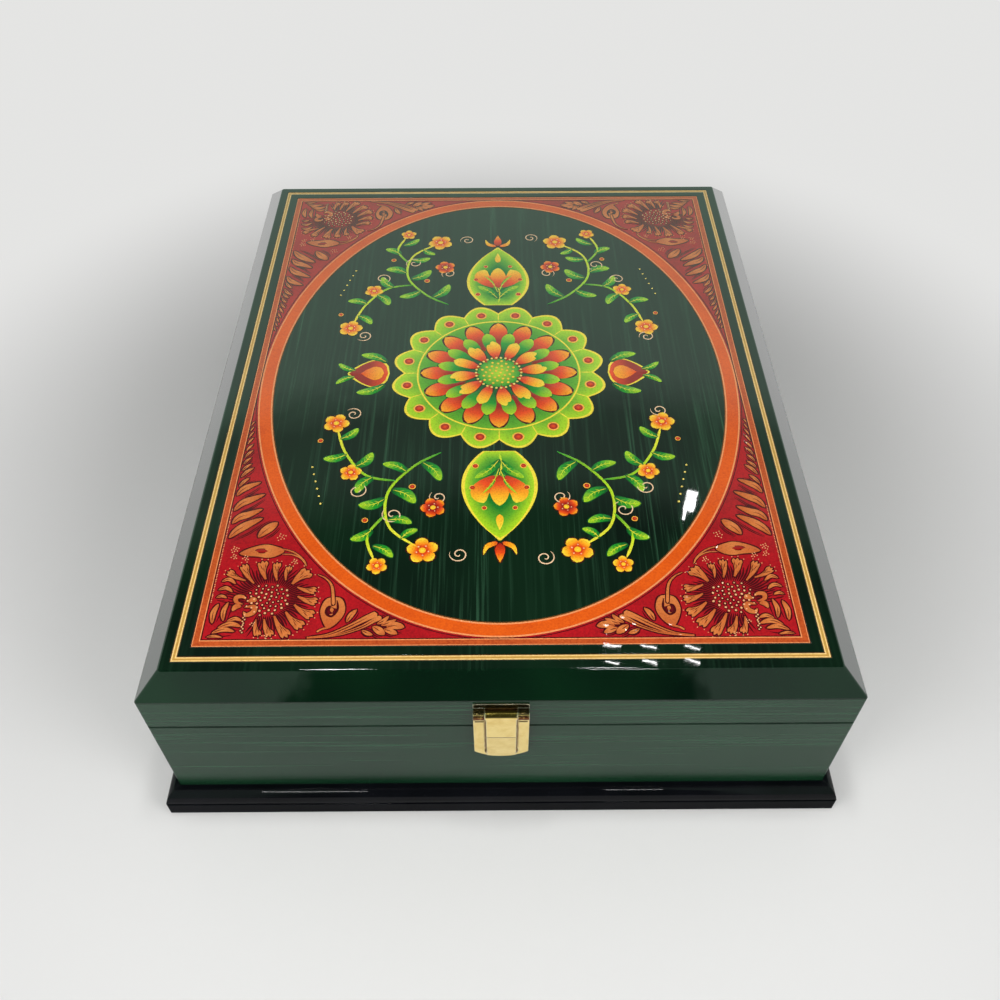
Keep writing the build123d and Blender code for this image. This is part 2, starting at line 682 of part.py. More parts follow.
# Latch
save(latch_plate(), "latch_lid_plate")
save(tacks(PLATE_TACK_SPACING, PLATE_TACK_Z), "latch_plate_screws")
save(latch_pin(), "latch_pin")
save(latch_flap(), "latch_flap")
save(catch_plate(), "latch_catch")
save(tacks(CATCH_TACK_SPACING, CATCH_TACK_Z), "latch_catch_screws")
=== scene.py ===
"""Looks of the lacquered box: camera, studio, materials, painted ornament and linings.

Every position is in metres in the CAD model's frame. The painted ornament is drawn in
millimetres on the lid's top, as thin closed shapes that lie on the picture leaves.
"""

import math

import bmesh
import bpy
from mathutils import Matrix, Vector


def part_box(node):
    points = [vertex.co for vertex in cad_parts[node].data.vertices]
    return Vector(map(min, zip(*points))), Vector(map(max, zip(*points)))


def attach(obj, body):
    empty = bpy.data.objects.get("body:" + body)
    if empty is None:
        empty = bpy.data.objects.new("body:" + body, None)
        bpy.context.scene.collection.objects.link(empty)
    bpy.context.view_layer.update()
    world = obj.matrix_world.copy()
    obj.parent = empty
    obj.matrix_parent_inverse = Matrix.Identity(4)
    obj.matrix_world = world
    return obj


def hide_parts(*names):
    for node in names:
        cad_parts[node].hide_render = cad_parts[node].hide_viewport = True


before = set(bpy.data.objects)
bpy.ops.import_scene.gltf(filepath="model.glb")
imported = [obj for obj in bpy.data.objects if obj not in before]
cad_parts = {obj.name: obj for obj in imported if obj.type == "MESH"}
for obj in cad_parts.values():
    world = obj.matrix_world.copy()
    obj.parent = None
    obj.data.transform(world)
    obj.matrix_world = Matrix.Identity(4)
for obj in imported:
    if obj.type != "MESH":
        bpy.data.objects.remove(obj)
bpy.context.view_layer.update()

MM = 0.001

# Places on the solids that materials change at
PLINTH_BAND_TOP = 9.6 * MM
FLAP_PANEL_HALF = 7.6 * MM
LINING_MARGIN = 0.6 * MM
# Widths of the bands painted dark as shade at the seam between lid and base, and at the rails' top
SEAM_SHADE_BELOW = 0.5 * MM
SEAM_SHADE_ABOVE = 0.4 * MM
ARRIS_SHADE = 0.5 * MM

# Radius that sharp edges seem to have, and depth of the waves and pores in the lacquer's skin
LACQUER_EDGE = 0.5 * MM
BRASS_EDGE = 0.45 * MM
SKIN_WAVE = 0.07 * MM
SKIN_PEEL = 0.002 * MM

# Camera of the photograph
CAMERA_PLACE = (-0.00072, -0.44443, 0.50305)
CAMERA_YAW = -0.0026
CAMERA_PITCH = 0.7209
CAMERA_ROLL = -0.0043
CAMERA_LENS = 35.07
SENSOR_WIDTH = 36.0

# Heights of the paint above the picture leaves, in millimetres
OUTLINE_LIFT = 0.03
FILL_LIFT = 0.07
DETAIL_LIFT = 0.11
DOT_LIFT = 0.14
PAINT_CROWN = 0.03
LAYER_STEP = 0.00008
ROW_STEP = 0.012

# Widths of outlines in millimetres, and turns from one seed or bead to the next in radians
OUTLINE_WIDTH = 0.65
FINE_RIM = 0.35
GOLDEN_TURN = 2.39996
BEAD_TURN = 2.4


def paint(red, green, blue):
    """A colour written as it shows on a screen, 0 to 255, turned into linear light."""

    def linear(value):
        value /= 255
        return value / 12.92 if value <= 0.04045 else ((value + 0.055) / 1.055) ** 2.4

    return (linear(red), linear(green), linear(blue), 1.0)


LACQUER_GREEN = paint(4, 31, 14)
LACQUER_STREAK = paint(46, 84, 60)
LACQUER_DEEP = paint(1, 16, 7)
WALL_GREEN = paint(22, 54, 35)
WALL_STREAK = paint(42, 84, 60)
WALL_DEEP = paint(14, 44, 27)
PLINTH_BLACK = paint(5, 6, 8)
PLINTH_GREY = paint(12, 13, 17)
PLINTH_DUST = paint(40, 42, 44)
INSIDE_PAINT = paint(14, 34, 22)
VELVET_GREEN = paint(16, 52, 30)
VELVET_LIGHT = paint(24, 72, 44)
VELVET_DEEP = paint(10, 34, 20)
WOOD_PALE = paint(206, 170, 122)
WOOD_TAN = paint(176, 134, 88)
WOOD_PORE = paint(120, 84, 50)
GROUND_RED = paint(176, 18, 28)
GROUND_RED_DEEP = paint(126, 10, 22)
BORDER_ORANGE = paint(192, 86, 36)
BORDER_DEEP = paint(160, 60, 24)
RING_ORANGE = paint(222, 92, 18)
RING_DEEP = paint(192, 68, 14)
EDGE_LIGHT = paint(232, 146, 90)
GOLD = paint(190, 149, 72)
GOLD_LIGHT = paint(236, 202, 130)
GOLD_DEEP = paint(178, 129, 53)
GOLD_DARK = paint(110, 66, 22)
MAROON = paint(70, 6, 14)
TAN = paint(186, 88, 40)
TAN_LIGHT = paint(208, 122, 62)
CREAM = paint(238, 200, 160)
LEAF_DARK = paint(8, 84, 34)
LEAF_MID = paint(34, 150, 40)
LEAF_LIGHT = paint(176, 218, 34)
YELLOW = paint(244, 222, 62)
AMBER = paint(250, 176, 32)
FLAME = paint(232, 74, 20)
CRIMSON = paint(150, 18, 16)
BRASS = paint(252, 226, 150)
BRASS_DULL = paint(236, 204, 122)
# Painted light on the brass: a pale painted highlight on its edges, and painted dark reflections
# and shade on the latch's barrels and grooves
BRASS_EDGE_HIGHLIGHT = paint(255, 246, 216)
BRASS_OLIVE_REFLECTION = paint(112, 100, 42)
BRASS_BROWN_SHADE_AND_REFLECTION = paint(104, 56, 30)
BRASS_BLACK_REFLECTION = paint(46, 42, 18)

TAN_SHADES = (TAN, TAN_LIGHT)
LEAF_SHADES = (LEAF_DARK, LEAF_MID, LEAF_LIGHT)
VEIN_SHADES = (YELLOW, LEAF_LIGHT)
FIELD_SHADES = (LEAF_DARK, LEAF_DARK, LEAF_MID, LEAF_LIGHT)
FLAME_SHADES = (CRIMSON, FLAME, AMBER, YELLOW)
RED_SHADES = (CRIMSON, CRIMSON, FLAME, AMBER)

# Floor and backdrop, and the tints of the room as gloss mirrors it and as it lights the rest
FLOOR_LIT = (0.64, 0.64, 0.63, 1.0)
FLOOR_PALE = (0.78, 0.78, 0.77, 1.0)
BACKDROP_PALE = (0.80, 0.80, 0.79, 1.0)
GLOSS_TINT = (0.90, 1.25, 1.02, 1.0)
ROOM_TINT = (0.55, 0.55, 0.55, 1.0)


class Nodes:
    """A short way to write a node tree."""

    def __init__(self, tree):
        self.tree = tree
        tree.nodes.clear()

    def add(self, kind, inputs=None, **settings):
        node = self.tree.nodes.new(kind)
        for name, value in settings.items():
            setattr(node, name, value)
        for socket, value in (inputs or {}).items():
            if isinstance(value, bpy.types.NodeSocket):
                self.tree.links.new(value, node.inputs[socket])
            else:
                node.inputs[socket].default_value = value
        return node

    def math(self, operation, a, b=0.0, c=0.0):
        inputs = {0: a, 1: b, 2: c}
        return self.add("ShaderNodeMath", inputs, operation=operation).outputs[0]

    def ramp(self, value, low, high, smooth=False):
        """value taken from low..high to 0..1, and held there."""
        inputs = {"Value": value, "From Min": low, "From Max": high}
        kind = "SMOOTHSTEP" if smooth else "LINEAR"
        return self.add("ShaderNodeMapRange", inputs, interpolation_type=kind).outputs[0]

    def mix(self, factor, a, b, blend="MIX"):
        inputs = {0: factor, 6: a, 7: b}
        settings = {"data_type": "RGBA", "blend_type": blend}
        return self.add("ShaderNodeMix", inputs, **settings).outputs[2]

    def place(self, scale=(1, 1, 1)):
        """Object coordinates, in metres, stretched by scale."""
        coordinates = self.add("ShaderNodeTexCoord").outputs["Object"]
        return self.add("ShaderNodeMapping", {"Vector": coordinates, "Scale": scale}).outputs[0]

    def xyz(self):
        """The three object coordinates, each by itself."""
        return self.add("ShaderNodeSeparateXYZ", {0: self.place()}).outputs

    def noise(self, vector, scale, detail=3.0, roughness=0.55):
        inputs = {"Vector": vector, "Scale": scale, "Detail": detail, "Roughness": roughness}
        return self.add("ShaderNodeTexNoise", inputs).outputs["Fac"]

    def bump(self, height, distance, normal=None):
        inputs = {"Height": height, "Distance": distance, "Strength": 1.0}
        if normal is not None:
            inputs["Normal"] = normal
        return self.add("ShaderNodeBump", inputs).outputs[0]

    def principled(self, inputs):
        return self.add("ShaderNodeBsdfPrincipled", inputs).outputs[0]

    def either(self, factor, first, second):
        """The first shader where factor is 0, and the second where it is 1."""
        return self.add("ShaderNodeMixShader", {0: factor, 1: first, 2: second}).outputs[0]

    def finish(self, shader):
        self.add("ShaderNodeOutputMaterial", {"Surface": shader})


def top_of(node):
    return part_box(node)[1].z


def pin_height():
    low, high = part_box("latch_pin")
    return 0.5 * (low.z + high.z)


def new_material(name):
    material = bpy.data.materials.new(name)
    material.use_nodes = True
    return material, Nodes(material.node_tree)


def lacquer_skin(nodes, edge=None):
    """The slow waviness of brushed and polished lacquer, for the coat's reflections."""
    wave = nodes.noise(nodes.place(), 34.0, 2.0, 0.4)
    peel = nodes.noise(nodes.place(), 300.0, 2.0, 0.5)
    return nodes.bump(peel, SKIN_PEEL, nodes.bump(wave, SKIN_WAVE, edge))


def soft_edge(nodes, radius):
    """A normal that rounds the solid's sharp edges."""
    return nodes.add("ShaderNodeBevel", {"Radius": radius}, samples=4).outputs[0]


def coated(nodes, colour, normal=None, coat=1.0, coat_roughness=0.02, edge=None):
    """Paint or stain under a clear, glossy coat."""
    inputs = {
        "Base Color": colour,
        "Roughness": 0.6,
        "Specular IOR Level": 0.0,
        "Coat Weight": coat,
        "Coat Roughness": coat_roughness,
        "Coat IOR": 1.52,
        "Coat Normal": lacquer_skin(nodes, edge),
    }
    if normal is not None:
        inputs["Normal"] = normal
    return nodes.principled(inputs)


def grain_stretch(axis, along=9.0, across=520.0):
    """Scales that draw a noise out along one axis."""
    return tuple(along if name == axis else across for name in "XYZ")


def streaks(nodes, axis):
    """Fine and broad streaks of grain along one axis, 0 to 1, and the fine ones alone."""
    fine = nodes.noise(nodes.place(grain_stretch(axis)), 1.0, 4.0, 0.6)
    broad = nodes.noise(nodes.place(grain_stretch(axis, 2.5, 70.0)), 1.0, 3.0, 0.5)
    amount = nodes.math("MULTIPLY", nodes.ramp(fine, 0.50, 0.74), nodes.ramp(broad, 0.36, 0.66))
    return amount, fine


def top_lacquer(name, streak):
    """Polished dark green lacquer: grain as strong as streak on the flat, none on the bevels."""
    material, nodes = new_material(name)
    amount, fine = streaks(nodes, "Y")
    cloud = nodes.noise(nodes.place(), 14.0, 2.0, 0.5)
    top = top_of("lid_top_board")
    flat = nodes.ramp(nodes.xyz()[2], top - 0.8 * MM, top - 0.3 * MM)
    colour = nodes.mix(nodes.ramp(cloud, 0.35, 0.65), LACQUER_DEEP, LACQUER_GREEN)
    shown = nodes.math("MULTIPLY", nodes.math("MULTIPLY", amount, flat), streak)
    colour = nodes.mix(shown, colour, LACQUER_STREAK)
    grain = nodes.bump(fine, 0.012 * MM)
    nodes.finish(coated(nodes, colour, grain, edge=soft_edge(nodes, LACQUER_EDGE)))
    return material


def wall_lacquer(name, axis):
    """Satin green lacquer of the walls, matt paint inside them, and painted shade: dark bands at
    the seam between lid and base and at the rails' top.
    """
    material, nodes = new_material(name)
    amount, fine = streaks(nodes, axis)
    cloud = nodes.noise(nodes.place(), 9.0, 2.0, 0.5)
    colour = nodes.mix(nodes.ramp(cloud, 0.35, 0.65), WALL_DEEP, WALL_GREEN)
    colour = nodes.mix(amount, colour, WALL_STREAK)
    grain = nodes.bump(fine, 0.04 * MM)
    outside = coated(nodes, colour, grain, 0.6, 0.24, grain)
    nodes.finish(nodes.either(inside_and_shade_mask(nodes), outside, inside_paint_and_shade(nodes)))
    return material


def inside_and_shade_mask(nodes):
    """1 on faces that look into the box, and on bands of painted shade at the meeting rims and the
    rails' top; 0 elsewhere.
    """
    x, y, z = nodes.xyz()
    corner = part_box("floor_lining")[1]
    in_x = nodes.math("LESS_THAN", nodes.math("ABSOLUTE", x), corner.x + LINING_MARGIN)
    in_y = nodes.math("LESS_THAN", nodes.math("ABSOLUTE", y), corner.y + LINING_MARGIN)
    inside = nodes.math("MULTIPLY", in_x, in_y)
    # painted shade: a dark band along the seam between lid and base
    above = nodes.math("GREATER_THAN", z, top_of("base_front_wall") - SEAM_SHADE_BELOW)
    below = nodes.math("LESS_THAN", z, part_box("lid_front_rail")[0].z + SEAM_SHADE_ABOVE)
    seam_shade = nodes.math("MULTIPLY", above, below)
    # painted shade: a dark line where the rails meet the top board
    arris_shade = nodes.math("GREATER_THAN", z, top_of("lid_front_rail") - ARRIS_SHADE)
    return nodes.math("MAXIMUM", inside, nodes.math("MAXIMUM", seam_shade, arris_shade))


def inside_paint_and_shade(nodes):
    """Matt paint with brush marks, on the inside of the walls, and as painted shade at the seam
    and the rails' top.
    """
    brush = nodes.noise(nodes.place((90.0, 90.0, 700.0)), 1.0, 3.0)
    colour = nodes.mix(nodes.ramp(brush, 0.3, 0.7), INSIDE_PAINT, LACQUER_DEEP)
    inputs = {"Base Color": colour, "Roughness": 0.7, "Normal": nodes.bump(brush, 0.04 * MM)}
    return nodes.principled(inputs)


def plinth_material():
    """Black lacquer: glossy on the moulding, duller on the band, with a little dust."""
    material, nodes = new_material("black_lacquer")
    dust = nodes.noise(nodes.place(), 900.0, 3.0)
    cloud = nodes.noise(nodes.place(), 30.0, 2.0)
    speck = nodes.ramp(dust, 0.70, 0.80)
    colour = nodes.mix(nodes.ramp(cloud, 0.3, 0.7), PLINTH_BLACK, PLINTH_GREY)
    colour = nodes.mix(speck, colour, PLINTH_DUST)
    edge = soft_edge(nodes, LACQUER_EDGE)
    band = coated(nodes, colour, coat=0.12, edge=edge)
    moulding = coated(nodes, colour, coat=0.28, edge=edge)
    upper = nodes.ramp(nodes.xyz()[2], PLINTH_BAND_TOP - 0.4 * MM, PLINTH_BAND_TOP + 0.4 * MM)
    nodes.finish(nodes.either(upper, band, moulding))
    return material


def mottled(nodes, light, deep, strength=0.55):
    """Two shades of one paint, stippled as brushed colour is."""
    stipple = nodes.noise(nodes.place(), 950.0, 3.0, 0.6)
    drift = nodes.noise(nodes.place(), 55.0, 2.0, 0.5)
    amount = nodes.math("MULTIPLY", nodes.ramp(stipple, 0.40, 0.68), strength)
    amount = nodes.math("ADD", amount, nodes.math("MULTIPLY", nodes.ramp(drift, 0.4, 0.7), 0.35))
    return nodes.mix(nodes.math("MINIMUM", amount, 1.0), light, deep)


def painted_material(name, light, deep, strength=0.55):
    """A painted field under the lid's clear coat."""
    material, nodes = new_material(name)
    nodes.finish(coated(nodes, mottled(nodes, light, deep, strength)))
    return material


def ornament_material():
    """Painted ornament: each shape's own colour, stippled, under the clear coat."""
    material, nodes = new_material("painted_ornament")
    own = nodes.add("ShaderNodeVertexColor", layer_name="Colour").outputs["Color"]
    stipple = nodes.noise(nodes.place(), 1100.0, 3.0, 0.6)
    shade = nodes.mix(1.0, own, (0.62, 0.55, 0.55, 1.0), "MULTIPLY")
    nodes.finish(coated(nodes, nodes.mix(nodes.ramp(stipple, 0.48, 0.80), own, shade)))
    return material


def flap_painted_shade_and_reflection(nodes, colour):
    """Painted reflection and shade on the flap's brass: olive on top of its knuckle, and brown
    shade in the grooves beside its panel.
    """
    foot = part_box("latch_flap")[0].z
    pin = pin_height()
    x, _, z = nodes.xyz()
    # painted reflection: olive on top of the knuckle
    top = nodes.ramp(z, pin + 0.8 * MM, pin + 1.3 * MM)
    colour = nodes.mix(top, colour, BRASS_OLIVE_REFLECTION)
    # painted shade: brown in the grooves beside the panel
    aside = nodes.math("SUBTRACT", nodes.math("ABSOLUTE", x), FLAP_PANEL_HALF)
    near = nodes.ramp(nodes.math("ABSOLUTE", aside), 0.45 * MM, 0.20 * MM)
    above = nodes.ramp(z, foot + 3.0 * MM, foot + 3.4 * MM)
    below = nodes.ramp(z, pin - 2.4 * MM, pin - 2.8 * MM)
    groove_shade = nodes.math("MULTIPLY", near, nodes.math("MULTIPLY", above, below))
    return nodes.mix(groove_shade, colour, BRASS_BROWN_SHADE_AND_REFLECTION)


def plate_painted_reflection(nodes, colour):
    """Painted reflection on the latch's lid plate: brown barrels with painted glints and one
    painted highlight line, and nearly black above.
    """
    rise = nodes.math("SUBTRACT", nodes.xyz()[2], pin_height())
    # painted glints in the barrels' reflection
    painted_glint = nodes.ramp(nodes.noise(nodes.place(), 1500.0, 2.0), 0.56, 0.66)
    barrel_reflection = nodes.mix(painted_glint, BRASS_BROWN_SHADE_AND_REFLECTION, BRASS_DULL)
    above = nodes.mix(nodes.math("MULTIPLY", painted_glint, 0.4), BRASS_BLACK_REFLECTION, BRASS_DULL)
    dark = nodes.mix(nodes.ramp(rise, 2.10 * MM, 2.20 * MM), barrel_reflection, above)
    # painted highlight: one bright line along the barrels
    from_highlight_line = nodes.math("ABSOLUTE", nodes.math("SUBTRACT", rise, 1.98 * MM))
    return nodes.mix(nodes.ramp(from_highlight_line, 0.16 * MM, 0.12 * MM), dark, colour)


def brass_material(name, roughness, painted_light=None):
    """Polished brass plate: faint brush lines, finger dulling, softened edges with a painted
    highlight along them, and, if given, more painted light from the function passed in.
    """
    material, nodes = new_material(name)
    brush = nodes.noise(nodes.place((3000.0, 60.0, 60.0)), 1.0, 2.0)
    smear = nodes.noise(nodes.place(), 210.0, 3.0)
    rough = nodes.math("MULTIPLY_ADD", nodes.ramp(smear, 0.4, 0.7), 0.10, roughness)
    edge = soft_edge(nodes, BRASS_EDGE)
    facing = nodes.add("ShaderNodeNewGeometry").outputs["Normal"]
    turned = nodes.add("ShaderNodeVectorMath", {0: edge, 1: facing}, operation="DOT_PRODUCT")
    # painted highlight: the colour turns paler where the rounded edge's normal leaves the face's
    edge_highlight = nodes.ramp(turned.outputs["Value"], 0.998, 0.95)
    colour = nodes.mix(nodes.ramp(smear, 0.35, 0.75), BRASS, BRASS_DULL)
    if painted_light:
        colour = painted_light(nodes, colour)
    inputs = {
        "Base Color": nodes.mix(edge_highlight, colour, BRASS_EDGE_HIGHLIGHT),
        "Metallic": 0.92,
        "Roughness": rough,
        "Normal": nodes.bump(brush, 0.0006 * MM, edge),
    }
    nodes.finish(nodes.principled(inputs))
    return material


def velvet_material():
    """Short green pile that leans in patches."""
    material, nodes = new_material("velvet")
    pile = nodes.noise(nodes.place(), 2600.0, 2.0)
    lean = nodes.noise(nodes.place(), 24.0, 3.0)
    colour = nodes.mix(nodes.ramp(lean, 0.35, 0.65), VELVET_GREEN, VELVET_LIGHT)
    colour = nodes.mix(nodes.ramp(pile, 0.4, 0.7), colour, VELVET_DEEP)
    inputs = {
        "Base Color": colour,
        "Roughness": 0.95,
        "Sheen Weight": 0.6,
        "Sheen Roughness": 0.4,
        "Normal": nodes.bump(pile, 0.15 * MM),
    }
    nodes.finish(nodes.principled(inputs))
    return material


def bare_wood_material():
    """The unfinished bottom board: pale wood with fine pores along its grain."""
    material, nodes = new_material("bare_wood")
    pores = nodes.noise(nodes.place(grain_stretch("Y", 14.0, 900.0)), 1.0, 4.0)
    figure = nodes.noise(nodes.place(grain_stretch("Y", 3.0, 60.0)), 1.0, 3.0)
    colour = nodes.mix(nodes.ramp(figure, 0.35, 0.65), WOOD_PALE, WOOD_TAN)
    colour = nodes.mix(nodes.ramp(pores, 0.56, 0.72), colour, WOOD_PORE)
    inputs = {"Base Color": colour, "Roughness": 0.75, "Normal": nodes.bump(pores, 0.06 * MM)}
    nodes.finish(nodes.principled(inputs))
    return material


def dress(material, *names):
    """Gives a material to CAD nodes."""
    for name in names:
        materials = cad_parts[name].data.materials
        materials.clear()
        materials.append(material)


def new_piece(name, points, faces, colours=None):
    """An object from closed shapes, faces turned outwards, with a colour per point if given."""
    mesh = bpy.data.meshes.new(name)
    mesh.from_pydata(points, [], faces)
    if colours:
        layer = mesh.color_attributes.new("Colour", "FLOAT_COLOR", "POINT")
        layer.data.foreach_set("color", [part for colour in colours for part in colour])
    shapes = bmesh.new()
    shapes.from_mesh(mesh)
    bmesh.ops.recalc_face_normals(shapes, faces=shapes.faces)
    shapes.to_mesh(mesh)
    shapes.free()
    piece = bpy.data.objects.new(name, mesh)
    bpy.context.scene.collection.objects.link(piece)
    return piece


# Drawing: thin closed shapes in millimetres, seen from above


def blend_colours(stops, share):
    """A colour part of the way along a list of colours."""
    place = share * (len(stops) - 1)
    first = min(int(place), len(stops) - 2)
    part = place - first
    return tuple(a + (b - a) * part for a, b in zip(stops[first], stops[first + 1]))


def around(radius, angle, centre=(0.0, 0.0)):
    """A point on a circle."""
    return (centre[0] + radius * math.cos(angle), centre[1] + radius * math.sin(angle))


def leaf_profile(share):
    return math.sin(math.pi * share) ** 0.8


def petal_profile(share):
    return math.sin(math.pi * share**1.5) ** 0.65


def drop_profile(share):
    """Round where the shape starts, and drawn out to a point."""
    if share < 0.38:
        return math.sqrt(1 - (1 - share / 0.38) ** 2)
    return 1 - ((share - 0.38) / 0.62) ** 1.5


def trumpet_profile(share):
    """Narrow at the foot, wide and rounded at the tip."""
    flare = 0.16 + 0.84 * share**1.4
    return flare * math.sqrt(max(0.0, 1 - max(0.0, (share - 0.86) / 0.14) ** 2))


def club_profile(share):
    """A stem that thickens steadily to a rounded end."""
    return (0.25 + 0.75 * share) * math.sqrt(max(0.0, 1 - max(0.0, (share - 0.92) / 0.08) ** 2))


def stroke_profile(share):
    return min(1.0, 0.25 + 6 * share, 0.25 + 6 * (1 - share))


def smooth_path(points, steps):
    """Points along a smooth curve that passes through the given ones."""
    if len(points) == 2:
        (x0, y0), (x1, y1) = points
        return [(x0 + (x1 - x0) * i / steps, y0 + (y1 - y0) * i / steps) for i in range(steps + 1)]
    ends = [points[0], *points, points[-1]]
    path = []
    spans = len(points) - 1
    for i in range(steps + 1):
        place = i / steps * spans
        span = min(int(place), spans - 1)
        t = place - span
        point = []
        for a, b, c, d in zip(*ends[span : span + 4]):
            bend = (2 * a - 5 * b + 4 * c - d) * t**2
            twist = (3 * b - a - 3 * c + d) * t**3
            point.append(0.5 * (2 * b + (c - a) * t + bend + twist))
        path.append(tuple(point))
    return path


def bowed(start, end, bow):
    """A short curved line from start to end that bows to its left by bow."""
    (x0, y0), (x1, y1) = start, end
    length = math.hypot(x1 - x0, y1 - y0) or 1.0
    middle = ((x0 + x1) / 2 - (y1 - y0) / length * bow, (y0 + y1) / 2 + (x1 - x0) / length * bow)
    return [start, middle, end]


class Artwork:
    """Painted shapes gathered into one mesh, with a colour at every point.

    flip mirrors the drawing in X and Y, and origin moves it, so one drawing serves all
    four corners.
    """

    def __init__(self, origin=(0.0, 0.0), flip=(1, 1)):
        self.origin = origin
        self.flip = flip
        self.points = []
        self.faces = []
        self.colours = []
        self.shapes = 0

    def point(self, x, y, lift, colour):
        (origin_x, origin_y), (flip_x, flip_y) = self.origin, self.flip
        self.points.append((origin_x + flip_x * x, origin_y + flip_y * y, lift))
        self.colours.append(colour)
        return len(self.points) - 1

    def next_lift(self, lift):
        """Sets each shape a hair above the last one, so that none share a surface."""
        self.shapes += 1
        return lift + self.shapes * LAYER_STEP

    def ribbon(self, path, half_width, profile, stops, lift, crown=PAINT_CROWN):
        """A shape along a path, closed all round and a little higher along its middle."""
        lift = self.next_lift(lift)
        rows = []
        last = len(path) - 1
        for i, (x, y) in enumerate(path):
            before, after = path[max(i - 1, 0)], path[min(i + 1, last)]
            across_x, across_y = before[1] - after[1], after[0] - before[0]
            length = math.hypot(across_x, across_y) or 1.0
            share = i / last
            width = max(half_width * profile(share), 0.03)
            side_x, side_y = across_x / length * width, across_y / length * width
            colour = blend_colours(stops, share)
            section = (
                (x + side_x, y + side_y, lift),
                (x, y, lift + crown),
                (x - side_x, y - side_y, lift),
                (x - side_x, y - side_y, 0.0),
                (x + side_x, y + side_y, 0.0),
            )
            rows.append(tuple(self.point(*place, colour) for place in section))
        for a, b in zip(rows, rows[1:]):
            for k in range(5):
                n = (k + 1) % 5
                self.faces.append((a[k], a[n], b[n], b[k]))
        self.faces.append(rows[0])
        self.faces.append(tuple(reversed(rows[-1])))

    def stroke(self, path, half_width, lift=DETAIL_LIFT, colour=MAROON, profile=leaf_profile):
        """A flat stroke of one colour."""
        self.ribbon(path, half_width, profile, (colour, colour), lift, 0.0)

    def disc(self, outline, centre, lift, stops, crown=PAINT_CROWN, rings=4):
        """A filled shape, coloured from its centre to its rim."""
        lift = self.next_lift(lift)
        count = len(outline)
        hub = self.point(*centre, lift + crown, stops[0])
        loops = []
        for ring in range(1, rings + 1):
            share = ring / rings
            colour = blend_colours(stops, share)
            height = lift + crown * (1 - share**2)
            loop = []
            for x, y in outline:
                ring_x = centre[0] + (x - centre[0]) * share
                ring_y = centre[1] + (y - centre[1]) * share
                loop.append(self.point(ring_x, ring_y, height, colour))
            loops.append(loop)
        foot = [self.point(x, y, 0.0, stops[-1]) for x, y in outline]
        for i in range(count):
            n = (i + 1) % count
            self.faces.append((hub, loops[0][i], loops[0][n]))
            for inner, outer in zip(loops, loops[1:] + [foot]):
                self.faces.append((inner[i], outer[i], outer[n], inner[n]))
        self.faces.append(tuple(reversed(foot)))

    def dot(self, x, y, radius, stops, lift, sides):
        outline = [around(radius, math.tau * i / sides, (x, y)) for i in range(sides)]
        self.disc(outline, (x, y), lift, stops, rings=1)

    def bead(self, x, y, radius, lift=DETAIL_LIFT, sides=8):
        """A small pale dot."""
        self.dot(x, y, radius, (CREAM, TAN_LIGHT), lift, sides)

    def seed(self, x, y, size, ground):
        """A pale dot on a dark one."""
        self.dot(x, y, ground, (MAROON, MAROON), OUTLINE_LIFT, 8)
        self.bead(x, y, size)

    def band(self, inner, outer, lift, colour):
        """A closed line between two outlines of as many points."""
        lift = self.next_lift(lift)
        count = len(inner)
        loops = [
            [self.point(x, y, height, colour) for x, y in outline]
            for outline, height in ((inner, lift), (outer, lift), (outer, 0.0), (inner, 0.0))
        ]
        for i in range(count):
            n = (i + 1) % count
            for k in range(4):
                a, b = loops[k], loops[(k + 1) % 4]
                self.faces.append((a[i], b[i], b[n], a[n]))

    def outlined(
        self, path, half_width, profile, stops, edge=MAROON, lift=OUTLINE_LIFT, rim=OUTLINE_WIDTH
    ):
        """A shape with a line of another colour round it."""
        (x0, y0), (x1, y1) = path[0], path[1]
        (x2, y2), (x3, y3) = path[-2], path[-1]
        first = math.hypot(x1 - x0, y1 - y0) or 1.0
        final = math.hypot(x3 - x2, y3 - y2) or 1.0
        longer = [
            (x0 - (x1 - x0) / first * rim, y0 - (y1 - y0) / first * rim),
            *path,
            (x3 + (x3 - x2) / final * rim, y3 + (y3 - y2) / final * rim),
        ]
        reach = half_width + rim

        def wider(share):
            return (half_width * profile(share) + rim * stroke_profile(share)) / reach

        self.ribbon(longer, reach, wider, (edge, edge), lift, 0.01)
        self.ribbon(path, half_width, profile, stops, lift + FILL_LIFT - OUTLINE_LIFT)

    def build(self, name, level):
        """Makes the mesh, with its painted shapes standing on the plane at level."""
        places = [(x * MM, y * MM, level + z * MM) for x, y, z in self.points]
        piece = new_piece(name, places, self.faces, self.colours)
        piece.data.materials.append(ORNAMENT)
        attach(piece, "lid")


def rectangle(half_width, half_depth):
    return [(x * half_width, y * half_depth) for x, y in ((-1, -1), (1, -1), (1, 1), (-1, 1))]


def ellipse(half_width, half_depth, sides=240):
    angles = [math.tau * i / sides for i in range(sides)]
    return [(half_width * math.cos(angle), half_depth * math.sin(angle)) for angle in angles]


def node_half(node):
    """Half the width and half the depth of a node that lies round the middle, in millimetres."""
    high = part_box(node)[1]
    return high.x / MM, high.y / MM


# Line work of the panel


